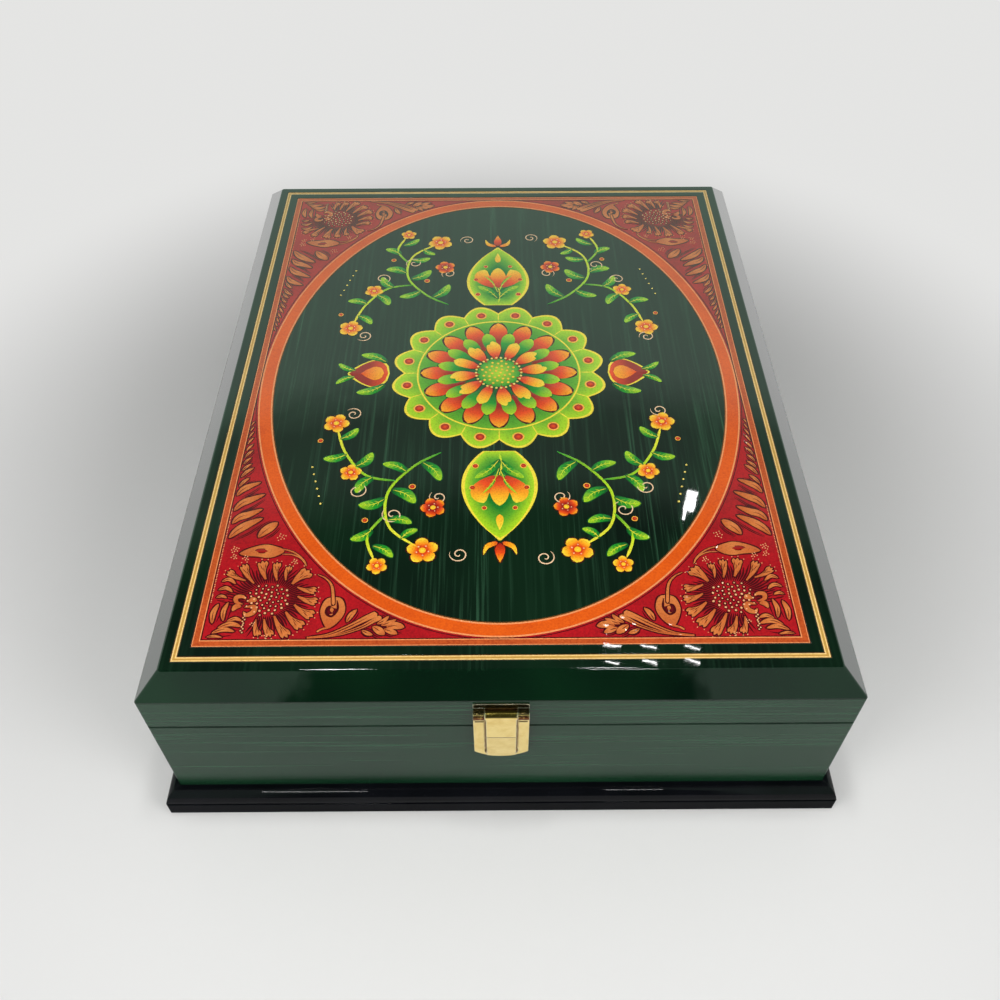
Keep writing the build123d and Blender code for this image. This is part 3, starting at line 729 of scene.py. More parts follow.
def edge_lines():
    """Light and dark edges of the gold line, the orange border and the oval ring."""
    art = Artwork()

    def frame_line(node, inset, width, colour):
        x, y = node_half(node)
        outer = rectangle(x - inset, y - inset)
        art.band(rectangle(x - inset - width, y - inset - width), outer, FILL_LIFT, colour)

    gold_width = 3.0
    border_width = 3.9
    dark, light = 0.35, 0.6
    frame_line("picture_gold_line", 0.0, dark, GOLD_DARK)
    frame_line("picture_gold_line", dark, light, GOLD_LIGHT)
    frame_line("picture_gold_line", gold_width - dark, dark, GOLD_DARK)
    frame_line("picture_gold_line", gold_width - dark - light, light, GOLD_LIGHT)
    frame_line("picture_orange_border", 0.0, dark, MAROON)
    frame_line("picture_orange_border", dark, 0.4, EDGE_LIGHT)
    frame_line("picture_orange_border", border_width - 0.5, 0.5, EDGE_LIGHT)
    frame_line("picture_corner_ground", 0.0, 0.5, MAROON)

    ring_x, ring_y = node_half("picture_oval_ring")
    field_x, field_y = node_half("picture_oval_field")

    def ring_line(x, y, width, colour, lift=FILL_LIFT):
        art.band(ellipse(x - width, y - width), ellipse(x, y), lift, colour)

    ring_line(ring_x + 1.3, ring_y + 1.3, 0.45, MAROON, FILL_LIFT - 0.02)
    ring_line(ring_x, ring_y, 0.9, EDGE_LIGHT)
    ring_line(field_x - 0.1, field_y - 0.1, 0.35, GOLD_DARK)
    ring_line(field_x + 1.0, field_y + 1.0, 0.9, EDGE_LIGHT)
    art.build("picture_edge_lines", top_of("picture_oval_ring"))


# Corner ornament: drawn for the front left corner, from the ground's own corner

FLOWER_MIDDLE = (28.2, 23.3)
PETAL_FULLNESS = 1.35

FLOWER_PETALS = (
    # foot, tip and half width
    ((15.7, 34.9), (6.7, 40.0), 1.5),
    ((20.1, 33.1), (13.4, 43.7), 1.7),
    ((25.6, 35.6), (22.5, 45.8), 2.1),
    ((31.2, 34.9), (29.9, 45.1), 1.6),
    ((35.6, 34.9), (36.2, 42.8), 1.3),
    ((39.1, 32.6), (45.8, 40.0), 2.9),
    ((41.9, 30.7), (50.6, 28.4), 1.7),
    ((42.8, 25.2), (51.7, 21.8), 1.9),
    ((41.8, 20.1), (50.6, 13.8), 2.2),
    ((38.2, 15.9), (46.3, 7.6), 2.2),
    ((33.0, 13.6), (40.1, 2.6), 2.0),
    ((28.4, 11.8), (32.5, 2.8), 1.6),
    ((24.5, 11.6), (26.6, 3.0), 1.4),
)

CURLED_PETALS = (
    # points along a small petal beside the flower, and its half width
    (((16.9, 20.6), (13.4, 21.9), (12.9, 24.7), (15.7, 25.2), (17.8, 23.6)), 1.2),
    (((19.0, 21.9), (21.3, 23.3), (22.8, 22.1)), 1.5),
    (((17.6, 18.7), (22.2, 19.3), (22.5, 15.9), (19.4, 14.3), (17.7, 16.2)), 1.4),
    (((16.2, 19.2), (13.6, 19.2), (12.3, 16.6)), 1.4),
)

CORNER_LEAVES = (
    # points along a leaf, and its half width
    (((2.5, 62.2), (6.0, 67.3), (11.1, 71.5), (18.0, 75.6)), 2.4),
    (((2.5, 71.9), (5.5, 76.1), (10.6, 78.4), (16.9, 81.9)), 2.2),
    (((1.9, 80.7), (5.1, 85.8), (9.7, 88.6), (16.6, 92.3)), 2.2),
    (((1.6, 91.4), (3.9, 95.6), (7.4, 98.3), (13.0, 101.1)), 1.9),
    (((1.6, 97.9), (3.7, 101.6), (6.2, 104.3)), 0.9),
    (((1.6, 104.8), (4.1, 109.0), (7.4, 111.8)), 1.0),
    (((1.4, 109.6), (3.2, 112.6), (5.8, 114.9)), 0.8),
    (((1.3, 114.5), (2.8, 117.5), (4.9, 119.6)), 0.7),
    (((1.3, 119.5), (2.8, 122.9), (5.0, 125.3)), 0.7),
    (((1.2, 124.9), (2.5, 127.6), (4.2, 130.0)), 0.65),
    (((1.1, 130.0), (2.2, 133.0), (3.6, 135.2)), 0.55),
    (((1.0, 135.1), (1.8, 137.7), (2.9, 139.8)), 0.5),
    (((0.9, 140.2), (1.6, 142.3), (2.4, 144.1)), 0.4),
    (((0.8, 144.9), (1.3, 146.7), (1.9, 148.2)), 0.35),
    (((17.6, 62.5), (20.1, 66.4), (23.6, 70.1), (26.2, 72.6)), 2.6),
    (((3.7, 9.4), (3.2, 15.5), (4.8, 21.0)), 1.3),
    (((8.8, 10.8), (8.0, 16.4), (9.5, 21.9)), 1.1),
    (((10.6, 10.6), (14.3, 12.2), (17.8, 10.8)), 1.0),
    (((6.9, 6.9), (12.5, 9.2), (18.0, 7.6)), 1.3),
    (((4.6, 3.9), (9.7, 6.0), (15.3, 4.8)), 1.2),
    (((2.6, 1.8), (6.0, 2.3), (9.9, 1.5)), 0.7),
    (((4.0, 34.4), (7.4, 35.8), (11.1, 32.9)), 1.0),
    (((3.2, 29.3), (6.9, 30.5), (10.4, 27.9)), 1.0),
    (((3.0, 24.7), (5.5, 25.6), (8.2, 24.4)), 0.8),
    (((68.3, 9.7), (69.9, 13.6), (72.5, 17.1)), 1.3),
    (((76.0, 5.0), (78.6, 3.4), (81.4, 2.4)), 1.1),
    (((83.0, 8.6), (86.0, 10.4), (88.4, 13.2)), 1.1),
    (((85.0, 7.8), (88.6, 9.2), (92.0, 11.0)), 1.2),
    (((87.6, 6.8), (91.8, 7.6), (96.2, 6.6)), 2.0),
    (((86.4, 5.6), (89.8, 4.4), (93.0, 2.8)), 1.5),
    (((81.0, 7.2), (84.2, 4.8), (87.0, 2.4)), 1.9),
)

CORNER_STEMS = (
    # points along a thin stem, and its half width
    (((31.5, 54.8), (37.5, 52.5), (42.6, 47.9), (44.7, 43.7)), 0.4),
    (((31.5, 51.4), (36.6, 51.1), (41.2, 48.8), (43.8, 45.6)), 0.35),
    (((59.7, 6.7), (56.5, 5.7), (54.6, 4.3)), 0.5),
)

LONG_LEAVES = (
    # points along a leaf that widens to its end, and its half width there
    (((56.5, 1.2), (66.2, 3.0), (75.4, 6.7), (81.0, 10.4), (84.8, 12.6)), 1.4),
    (((50.3, 1.0), (59.7, 2.3), (69.0, 6.7), (77.3, 11.8), (82.6, 14.6)), 1.8),
)

BEAD_CLUSTERS = (
    # middle, reach and number of beads
    (29.4, 62.6, 2.6, 9),
    (6.9, 54.6, 2.2, 9),
    (7.4, 49.8, 1.8, 7),
    (13.4, 49.0, 1.8, 7),
    (23.4, 9.0, 1.4, 5),
    (38.6, 46.4, 1.8, 7),
    (30.5, 1.9, 1.2, 4),
)


def toward(start, end, share, aside):
    """A point along a line, moved sideways by aside."""
    (x0, y0), (x1, y1) = start, end
    length = math.hypot(x1 - x0, y1 - y0)
    along_x, along_y = (x1 - x0) / length, (y1 - y0) / length
    x, y = x0 + (x1 - x0) * share, y0 + (y1 - y0) * share
    return (x - along_y * aside, y + along_x * aside)


def toothed_petal(art, foot, tip, half_width, bow):
    """A petal that flares from a narrow foot to a tip with three teeth."""
    half_width *= PETAL_FULLNESS
    path = smooth_path(bowed(foot, tip, bow), 12)
    for side in (-0.62, 0.62, 0.0):
        tooth = [
            toward(foot, tip, 0.72, side * half_width * 0.6),
            toward(foot, tip, 1.13 - 0.10 * abs(side), side * half_width * 1.15),
        ]
        art.outlined(smooth_path(tooth, 8), half_width * 0.36, leaf_profile, TAN_SHADES, rim=0.6)
        beyond = toward(foot, tip, 1.24 - 0.16 * abs(side), side * half_width * 1.7)
        art.bead(*beyond, 0.30)
    art.outlined(path, half_width, trumpet_profile, TAN_SHADES)
    for share, aside in ((0.74, 0.0), (0.90, 0.42), (0.90, -0.42)):
        vein = [
            toward(foot, tip, share - 0.30, aside * half_width * 0.5),
            toward(foot, tip, share, aside * half_width),
        ]
        art.stroke(smooth_path(vein, 5), 0.18)


def corner_flower(art):
    """A big open flower: toothed petals round a seed head, on a ground of dark strokes."""
    x, y = FLOWER_MIDDLE
    stroke_count = 62
    for i in range(stroke_count):
        angle = math.radians(-112 + i * 300 / (stroke_count - 1))
        reach = 21.0 + 1.8 * math.sin(i * 1.9)
        spots = ((9.5, 0.0), (15.0, 0.05), (reach, 0.0))
        path = [around(radius, angle + turn, FLOWER_MIDDLE) for radius, turn in spots]
        art.stroke(smooth_path(path, 8), 0.50, OUTLINE_LIFT)
    for i, (foot, tip, half_width) in enumerate(FLOWER_PETALS):
        toothed_petal(art, foot, tip, half_width, 0.7 if i < 6 else -0.7)
    seed_count = 52
    for i in range(seed_count):
        turn = i * GOLDEN_TURN
        radius = 1.42 * math.sqrt(i + 0.5)
        seed_x = x + radius * math.cos(turn) * 1.08
        seed_y = y + radius * math.sin(turn) * 0.94
        art.seed(seed_x, seed_y, 0.56 + 0.12 * math.sin(i * 2.3), 1.12)
    trail_count = 11
    for i in range(trail_count):
        art.seed(x - 9.6 + 0.5 * math.sin(i * 2.6), y - 8.6 - 1.05 * i, 0.48, 0.95)
    for points, half_width in CURLED_PETALS:
        art.outlined(smooth_path(points, 18), half_width, leaf_profile, TAN_SHADES, rim=0.55)


def veined_leaf(art, points, half_width):
    """A leaf with its midrib, and the dark strokes that run along both its sides."""
    path = smooth_path(points, 14)
    art.outlined(path, half_width, leaf_profile, (TAN, TAN_LIGHT, TAN), rim=0.7)
    if half_width < 0.7:
        return
    art.stroke(path[1:9], 0.20)
    gaps = (1.25, 2.25) if half_width > 1.8 else (1.1,)
    for gap in gaps:
        for aside in (half_width + gap, -half_width - gap):
            beside = [
                toward(points[0], points[-1], share, aside * bulge)
                for share, bulge in ((0.08, 0.75), (0.5, 1.0), (0.90, 0.8))
            ]
            art.stroke(smooth_path(beside, 8), 0.32, OUTLINE_LIFT)


def corner_bud(art):
    """A pointed bud whose stem curls into it."""
    body = smooth_path([(60.6, 24.7), (60.9, 17.3), (60.3, 10.8), (59.5, 6.0)], 20)
    art.outlined(body, 6.0, drop_profile, (TAN_LIGHT, TAN))
    art.dot(60.4, 16.3, 2.6, (GROUND_RED_DEEP, MAROON), FILL_LIFT + 0.02, 20)
    hook = [(62.4, 22.6), (63.2, 17.2), (60.8, 13.2), (57.9, 14.8), (58.2, 18.2), (60.3, 19.2)]
    art.stroke(smooth_path(hook, 24), 0.62, profile=stroke_profile)
    stem = smooth_path([(51.2, 38.3), (55.8, 35.6), (59.2, 30.3), (60.9, 19.6)], 20)
    art.outlined(stem, 0.8, club_profile, TAN_SHADES, lift=DETAIL_LIFT, rim=0.55)
    drop = smooth_path([(60.2, 18.0), (60.8, 15.2)], 8)
    art.outlined(drop, 0.9, drop_profile, (TAN_LIGHT, TAN), lift=DETAIL_LIFT, rim=0.4)


def corner_ornament(name, flip):
    """One corner's flower, leaves, bud and sprays, mirrored to its place."""
    half_x, half_y = node_half("picture_corner_ground")
    art = Artwork((-flip[0] * half_x, -flip[1] * half_y), flip)
    for points, half_width in CORNER_STEMS:
        art.outlined(smooth_path(points, 16), half_width, stroke_profile, TAN_SHADES, rim=0.45)
    for points, half_width in CORNER_LEAVES:
        veined_leaf(art, points, half_width)
    for points, half_width in LONG_LEAVES:
        path = smooth_path(points, 22)
        art.outlined(path, half_width, club_profile, TAN_SHADES, rim=0.7)
        art.stroke(path[4:18], 0.26, DETAIL_LIFT + 0.02)
    eye_leaf = smooth_path([(32.4, 53.6), (26.4, 53.2), (19.9, 53.6), (9.7, 51.9)], 20)
    art.outlined(eye_leaf, 4.2, leaf_profile, (TAN, TAN_LIGHT, TAN))
    eye = smooth_path([(24.1, 53.4), (17.6, 53.8)], 10)
    art.outlined(eye, 1.2, leaf_profile, (CRIMSON, CRIMSON), lift=DETAIL_LIFT - 0.02, rim=0.4)
    corner_bud(art)
    corner_flower(art)
    for x, y, reach, count in BEAD_CLUSTERS:
        for i in range(count):
            place = around(reach * math.sqrt((i + 0.5) / count), i * BEAD_TURN, (x, y))
            art.bead(*place, 0.36, FILL_LIFT)
    edge_bead_count = 58
    for i in range(edge_bead_count):
        art.bead(0.95, 22.0 + 1.05 * i, 0.30 + 0.08 * math.sin(i * 2.1), FILL_LIFT, 6)
    art.build(name, top_of("picture_corner_ground"))


# Middle medallion: a rosette in a lobed band, pendants and flowering sprays


SPRAY_SCALE = 1.07


def scallop(radius, depth, lobes):
    """A ring of rounded lobes."""
    sides_per_lobe = 12
    outline = []
    for i in range(lobes * sides_per_lobe):
        share = i / sides_per_lobe % 1.0
        angle = math.tau * i / (lobes * sides_per_lobe)
        reach = radius + depth * math.sin(math.pi * share)
        outline.append(around(reach, angle))
    return outline


def ringed_dot(art, x, y, size):
    art.dot(x, y, size, (CREAM, AMBER), FILL_LIFT, 16)
    art.dot(x, y, size * 0.72, (FLAME, CRIMSON), DETAIL_LIFT, 16)


def rosette(art):
    """A lobed band with ringed dots, round three rows of petals and a seeded middle."""
    lobes = 16
    outer = scallop(57.0, 7.5, lobes)
    inner = scallop(55.6, 7.3, lobes)
    art.disc(scallop(56.4, 7.4, lobes), (0, 0), OUTLINE_LIFT, FIELD_SHADES)
    art.band(inner, outer, FILL_LIFT, YELLOW)
    art.band(ellipse(48.2, 48.2, 96), ellipse(49.2, 49.2, 96), FILL_LIFT, YELLOW)
    for i in range(lobes):
        ringed_dot(art, *around(55.6, math.tau * (i + 0.5) / lobes), 3.5)
        between = math.tau * i / lobes
        line = smooth_path([around(49.4, between), around(56.2, between)], 3)
        art.stroke(line, 0.35, FILL_LIFT, YELLOW, stroke_profile)
    rows = (
        # petals, inner and outer reach, half width, turn and colours
        (16, 21.0, 47.0, 5.6, 0.0, RED_SHADES),
        (16, 17.0, 37.5, 4.4, 0.5, LEAF_SHADES),
        (12, 11.0, 29.5, 4.4, 0.25, FLAME_SHADES),
    )
    for row, (count, start, end, width, turn, stops) in enumerate(rows):
        edge = LEAF_DARK if stops == LEAF_SHADES else MAROON
        lift = OUTLINE_LIFT + ROW_STEP * (row + 1)
        for i in range(count):
            angle = math.tau * (i + turn) / count
            petal = smooth_path([around(start, angle), around(end, angle)], 14)
            art.outlined(petal, width, petal_profile, stops, edge, lift, 0.45)
            vein = smooth_path([around(start, angle), around(end * 0.86, angle)], 6)
            art.stroke(vein, 0.2, DETAIL_LIFT + ROW_STEP * row, edge, stroke_profile)
    art.dot(0, 0, 12.6, (LEAF_LIGHT, LEAF_MID), DETAIL_LIFT, 48)
    seed_count = 34
    for i in range(seed_count):
        place = around(1.85 * math.sqrt(i + 0.4), i * GOLDEN_TURN)
        art.dot(*place, 0.8, (YELLOW, AMBER), DOT_LIFT, 10)
    rim_count = 30
    for i in range(rim_count):
        art.dot(*around(13.6, math.tau * i / rim_count), 0.75, (CREAM, YELLOW), DOT_LIFT, 10)


def blossom(art, x, y, size, turn, stops=FLAME_SHADES):
    """A five-petalled flower."""
    petals = 5
    for i in range(petals):
        tip = around(size, math.tau * i / petals + turn, (x, y))
        petal = smooth_path([(x, y), tip], 10)
        art.outlined(petal, size * 0.40, petal_profile, stops, rim=FINE_RIM)
    art.dot(x, y, size * 0.22, (YELLOW, AMBER), DOT_LIFT, 12)
    for i in range(petals):
        place = around(size * 0.38, math.tau * (i + 0.5) / petals + turn, (x, y))
        art.dot(*place, size * 0.05, (CREAM, CREAM), DOT_LIFT, 8)


def green_leaf(art, start, end, width, bow):
    """A leaf with a pale midrib and side veins."""
    path = smooth_path(bowed(start, end, bow), 14)
    art.outlined(path, width, leaf_profile, LEAF_SHADES, LEAF_DARK, rim=FINE_RIM)
    art.ribbon(path[1:-2], 0.22, stroke_profile, VEIN_SHADES, DETAIL_LIFT, 0.0)
    for i in (4, 6, 8, 10):
        x, y = path[i]
        ahead = path[i + 2]
        aim_x, aim_y = ahead[0] - x, ahead[1] - y
        length = math.hypot(aim_x, aim_y) or 1.0
        for side in (-1, 1):
            tip_x = x + (aim_x - side * aim_y) / length * width * 0.55
            tip_y = y + (aim_y + side * aim_x) / length * width * 0.55
            vein = smooth_path([(x, y), (tip_x, tip_y)], 3)
            art.ribbon(vein, 0.12, stroke_profile, VEIN_SHADES, DETAIL_LIFT, 0.0)


def tulip(art, x, y, size, aim):
    """A closed flower seen from the side, opening towards aim, which is +1 or -1 along Y."""
    for spread, lean in ((0.62, 0.30), (-0.62, 0.30), (0.0, 0.0)):
        tip = (x + size * spread * 0.62, y + aim * size * (1.0 - lean * 0.3))
        middle = (x + size * spread * 0.75, y + aim * size * 0.5)
        petal = smooth_path([(x, y), middle, tip], 12)
        art.outlined(petal, size * 0.24, leaf_profile, FLAME_SHADES, rim=FINE_RIM)


def pendant(art, aim):
    """A pointed green field above or below the rosette, with a tulip and ringed dots."""
    foot, tip, half = 66.0, 128.0, 21.0
    steps = 22
    side = []
    for i in range(steps + 1):
        share = i / steps
        swell = math.sin(math.pi * min(1.0, share * 0.92 + 0.08)) ** 0.7
        side.append((half * swell * (1 - 0.25 * share), foot + (tip - foot) * share))
    outline = [(w, aim * y) for w, y in side] + [(-w, aim * y) for w, y in reversed(side)]
    rim = [(w * 1.07 + 0.6, aim * (y - 0.4)) for w, y in side[:-1]]
    rim.append((side[-1][0] * 1.07 + 0.6, aim * (tip + 1.6)))
    rim += [(-w, y) for w, y in reversed(rim)]
    centre = (0.0, aim * (foot + 22.0))
    art.disc(rim, centre, OUTLINE_LIFT, (YELLOW, YELLOW), rings=1, crown=0.0)
    art.disc(outline, centre, OUTLINE_LIFT + 0.01, FIELD_SHADES)
    stem = smooth_path([(0, aim * 68), (1.2, aim * 76), (0, aim * 84)], 8)
    art.ribbon(stem, 0.6, stroke_profile, (LEAF_LIGHT, YELLOW), FILL_LIFT)
    for sign in (-1, 1):
        green_leaf(art, (0, aim * 72), (sign * 13.5, aim * 86), 2.6, sign * aim * 1.6)
        green_leaf(art, (0, aim * 78), (sign * 9.5, aim * 98), 2.0, sign * aim * 1.6)
        for x, y, size in ((13.2, 77.0, 1.9), (14.6, 93.0, 1.8), (8.2, 107.5, 1.5)):
            ringed_dot(art, sign * x, aim * y, size)
    tulip(art, 0.0, aim * 84, 22.0, aim)
    drop = smooth_path([(0, aim * 112), (0, aim * 123)], 10)
    art.outlined(drop, 2.0, drop_profile, (AMBER, YELLOW), rim=FINE_RIM)
    for sign in (-1, 1):
        curve = bowed((sign * 1.2, aim * 131), (sign * 8.5, aim * 139), -sign * aim * 2.2)
        art.outlined(smooth_path(curve, 10), 1.5, drop_profile, (FLAME, AMBER, YELLOW), rim=0.3)
    crest = smooth_path([(0, aim * 131.5), (0, aim * 144)], 10)
    art.outlined(crest, 2.6, drop_profile, (CRIMSON, FLAME, AMBER), rim=FINE_RIM)


def side_pendant(art, aim):
    """A short red field at the left or right of the rosette."""
    path = smooth_path([(aim * 66.5, 0), (aim * 90, 0)], 18)
    art.outlined(path, 11.5, drop_profile, (FLAME, CRIMSON, CRIMSON), YELLOW, rim=0.9)
    inner = smooth_path([(aim * 69, 0), (aim * 83, 0)], 14)
    art.outlined(inner, 6.0, drop_profile, (AMBER, FLAME), lift=DETAIL_LIFT - 0.03, rim=0.4)
    ringed_dot(art, aim * 73.4, 0.0, 2.1)
    for sign in (-1, 1):
        green_leaf(art, (aim * 68, sign * 10), (aim * 84, sign * 17), 3.0, sign * aim * 2.0)
        green_leaf(art, (aim * 86, sign * 2.5), (aim * 97, sign * 9), 2.0, -sign * aim * 1.2)


def spiral(art, x, y, size, turn, wind):
    """A thin pale tendril that starts at x, y and curls to the side that wind gives."""
    centre = around(size, turn, (x, y))
    steps = 27
    path = []
    for i in range(steps):
        radius = size * (1 - i / steps) ** 0.8
        path.append(around(radius, turn + math.pi + wind * i * 0.36, centre))
    art.stroke(path, 0.32, FILL_LIFT, CREAM, stroke_profile)


def spray(art, sx, sy):
    """A flowering branch in one quarter of the oval."""

    def at(x, y):
        return (sx * x * SPRAY_SCALE, sy * y * SPRAY_SCALE)

    turn = sx * sy
    branch = smooth_path([at(30, 62), at(44, 72), at(56, 90), at(54, 112), at(38, 126)], 34)
    twig = smooth_path([at(52, 82), at(68, 78), at(80, 62), at(86, 44)], 26)
    upper = smooth_path([at(56, 104), at(64, 118), at(60, 132)], 14)
    for path in (branch, twig, upper):
        art.ribbon(path, 0.75, stroke_profile, (LEAF_MID, LEAF_LIGHT, YELLOW), FILL_LIFT)
    leaves = (
        # start, end, half width and bow
        ((40, 69), (30, 82), 3.2, 2.0),
        ((47, 76), (60, 70), 2.8, -1.6),
        ((54, 88), (42, 97), 3.4, 2.0),
        ((57, 94), (70, 98), 3.4, 2.0),
        ((55, 108), (43, 110), 2.6, 1.6),
        ((62, 114), (72, 120), 2.8, 1.4),
        ((61, 124), (51, 131), 2.4, 1.4),
        ((48, 120), (40, 114), 2.2, 1.2),
        ((64, 79), (72, 90), 3.0, -1.8),
        ((74, 72), (66, 62), 3.0, -1.8),
        ((79, 63), (91, 66), 2.8, 1.6),
        ((84, 52), (75, 44), 2.6, -1.4),
    )
    for start, end, width, bow in leaves:
        green_leaf(art, at(*start), at(*end), width, turn * bow)
    blossom(art, *at(37, 127), 8.4, turn * 0.4)
    blossom(art, *at(58, 136), 5.4, turn * 0.9)
    blossom(art, *at(87, 40), 7.6, turn * 1.2)
    blossom(art, *at(76, 76), 6.2, turn * 0.2)
    blossom(art, *at(33, 100), 6.8, turn * 0.7, RED_SHADES)
    ringed_dot(art, *at(44, 86), 1.9)
    ringed_dot(art, *at(66, 108), 1.7)
    ringed_dot(art, *at(94, 53), 1.6)
    angle = math.atan2(sy, sx)
    spiral(art, *at(56, 100), 6.0, angle * 0.4, turn)
    spiral(art, *at(70, 84), 5.2, angle * 0.8, -turn)
    spiral(art, *at(34, 90), 5.0, math.pi - angle, turn)
    spiral(art, *at(82, 30), 5.0, angle * 0.3, -turn)
    spiral(art, *at(24, 128), 5.0, math.pi - angle * 1.2, turn)
    berry_count = 6
    for i in range(berry_count):
        art.dot(*at(96 - 1.4 * i, 72 + 5.0 * i), 0.6, (CREAM, YELLOW), FILL_LIFT, 8)


def medallion():
    """The oval's middle: a spray in each quarter, four pendants, and the rosette over them."""
    sides = (("left", -1), ("right", 1))
    ends = (("front", -1), ("back", 1))

    def piece(name, draw, *signs):
        art = Artwork()
        draw(art, *signs)
        art.build(f"medallion_{name}", top_of("picture_oval_field"))

    for side, sx in sides:
        for end, sy in ends:
            piece(f"spray_{end}_{side}", spray, sx, sy)
    for end, aim in ends:
        piece(f"pendant_{end}", pendant, aim)
    for side, aim in sides:
        piece(f"pendant_{side}", side_pendant, aim)
    piece("rosette", rosette)


# Linings


def lining_pad(name, node, body, faces_up):
    """A thin pad in a lining's space: rolled at its edges and slightly full in the middle."""
    low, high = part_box(node)
    columns, rows = 64, 82
    roll = 3.0 * MM
    thickness = high.z - low.z

    def full(x, y):
        edge = min(x - low.x, high.x - x, y - low.y, high.y - y)
        rolled = math.sqrt(max(0.0, 1 - (1 - min(edge / roll, 1.0)) ** 2))
        swell = 0.05 * math.sin(x * 52.0) * math.sin(y * 44.0)
        return thickness * (0.25 + (0.70 + swell) * rolled)

    def spaced(start, end, count):
        """Places across the pad, closer together near its edges."""
        shares = [0.5 * (1 - math.cos(math.pi * i / count)) for i in range(count + 1)]
        return [start + (end - start) * share for share in shares]

    across = spaced(low.x, high.x, columns)
    along = spaced(low.y, high.y, rows)
    points = []
    for face in ("soft", "flat"):
        for y in along:
            for x in across:
                rise = full(x, y) if face == "soft" else 0.0
                points.append((x, y, low.z + rise if faces_up else high.z - rise))
    wide = columns + 1
    count = wide * (rows + 1)
    faces = []
    for r in range(rows):
        for c in range(columns):
            a = r * wide + c
            quad = (a, a + 1, a + wide + 1, a + wide)
            faces.append(quad)
            faces.append(tuple(count + i for i in reversed(quad)))
    rim = list(range(columns))
    rim += [r * wide + columns for r in range(rows)]
    rim += [rows * wide + c for c in range(columns, 0, -1)]
    rim += [r * wide for r in range(rows, 0, -1)]
    for a, b in zip(rim, rim[1:] + rim[:1]):
        faces.append((a, count + a, count + b, b))
    piece = new_piece(name, points, faces)
    piece.data.shade_smooth()
    piece.data.materials.append(VELVET)
    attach(piece, body)
    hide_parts(node)


# Studio


def studio_floor():
    """A plain pale floor that keeps its shadows near the box and stays pale far from it."""
    reach = 12.0
    shadow_near, shadow_far = 0.23, 0.52
    mesh = bpy.data.meshes.new("studio_floor")
    mesh.from_pydata([(x, y, 0) for x, y in rectangle(reach, reach)], [], [(0, 1, 2, 3)])
    floor = bpy.data.objects.new("studio_floor", mesh)
    bpy.context.scene.collection.objects.link(floor)
    material, nodes = new_material("studio_floor")
    lit = nodes.principled({"Base Color": FLOOR_LIT, "Roughness": 0.9, "Specular IOR Level": 0.1})
    pale = nodes.add("ShaderNodeEmission", {"Color": FLOOR_PALE}).outputs[0]
    place = nodes.add("ShaderNodeTexCoord").outputs["Object"]
    distance = nodes.add("ShaderNodeVectorMath", {0: place}, operation="LENGTH").outputs["Value"]
    rays = nodes.add("ShaderNodeLightPath").outputs
    seen = nodes.math("MAXIMUM", rays["Is Camera Ray"], rays["Is Glossy Ray"])
    seen = nodes.math("MAXIMUM", seen, rays["Is Transmission Ray"])
    far = nodes.math("MULTIPLY", nodes.ramp(distance, shadow_near, shadow_far, True), seen)
    nodes.finish(nodes.either(far, lit, pale))
    floor.data.materials.append(material)


def studio_world():
    """A room as its reflections show it: pale low down behind, dark overhead and in front."""
    world = bpy.data.worlds.new("studio")
    world.use_nodes = True
    bpy.context.scene.world = world
    nodes = Nodes(world.node_tree)
    heading = nodes.add("ShaderNodeTexCoord").outputs["Generated"]
    across, back, up = nodes.add("ShaderNodeSeparateXYZ", {0: heading}).outputs

    def below(low, high):
        """1 under the height low, in degrees, falling to 0 at high."""
        return nodes.ramp(up, math.sin(math.radians(high)), math.sin(math.radians(low)), True)

    rear = nodes.math("MULTIPLY_ADD", below(40.0, 44.0), 0.54, 0.10)
    rear = nodes.math("MULTIPLY_ADD", below(46.5, 50.0), 0.26, rear)
    wobble = nodes.math("MULTIPLY", nodes.noise(heading, 9.0, 3.0, 0.7), 0.16)
    spread = nodes.math("DIVIDE", nodes.math("ABSOLUTE", across), nodes.math("ABSOLUTE", back))
    beside = nodes.ramp(nodes.math("ADD", spread, wobble), 0.30, 0.34, True)
    front = nodes.math("MULTIPLY", beside, below(48.0, 60.0))
    front = nodes.math("MULTIPLY_ADD", front, 0.50, 0.05)
    level = nodes.mix(nodes.ramp(back, -0.05, 0.2, True), front, rear)
    rays = nodes.add("ShaderNodeLightPath").outputs
    seen = nodes.mix(1.0, level, GLOSS_TINT, "MULTIPLY")
    felt = nodes.mix(1.0, level, ROOM_TINT, "MULTIPLY")
    level = nodes.mix(rays["Is Glossy Ray"], felt, seen)
    room = nodes.add("ShaderNodeBackground", {"Color": level, "Strength": 1.0}).outputs[0]
    shown = nodes.add("ShaderNodeBackground", {"Color": BACKDROP_PALE}).outputs[0]
    mixed = nodes.either(rays["Is Camera Ray"], room, shown)
    nodes.add("ShaderNodeOutputWorld", {"Surface": mixed})


FRONT_EDGE = (0.0, -0.20, 0.10)

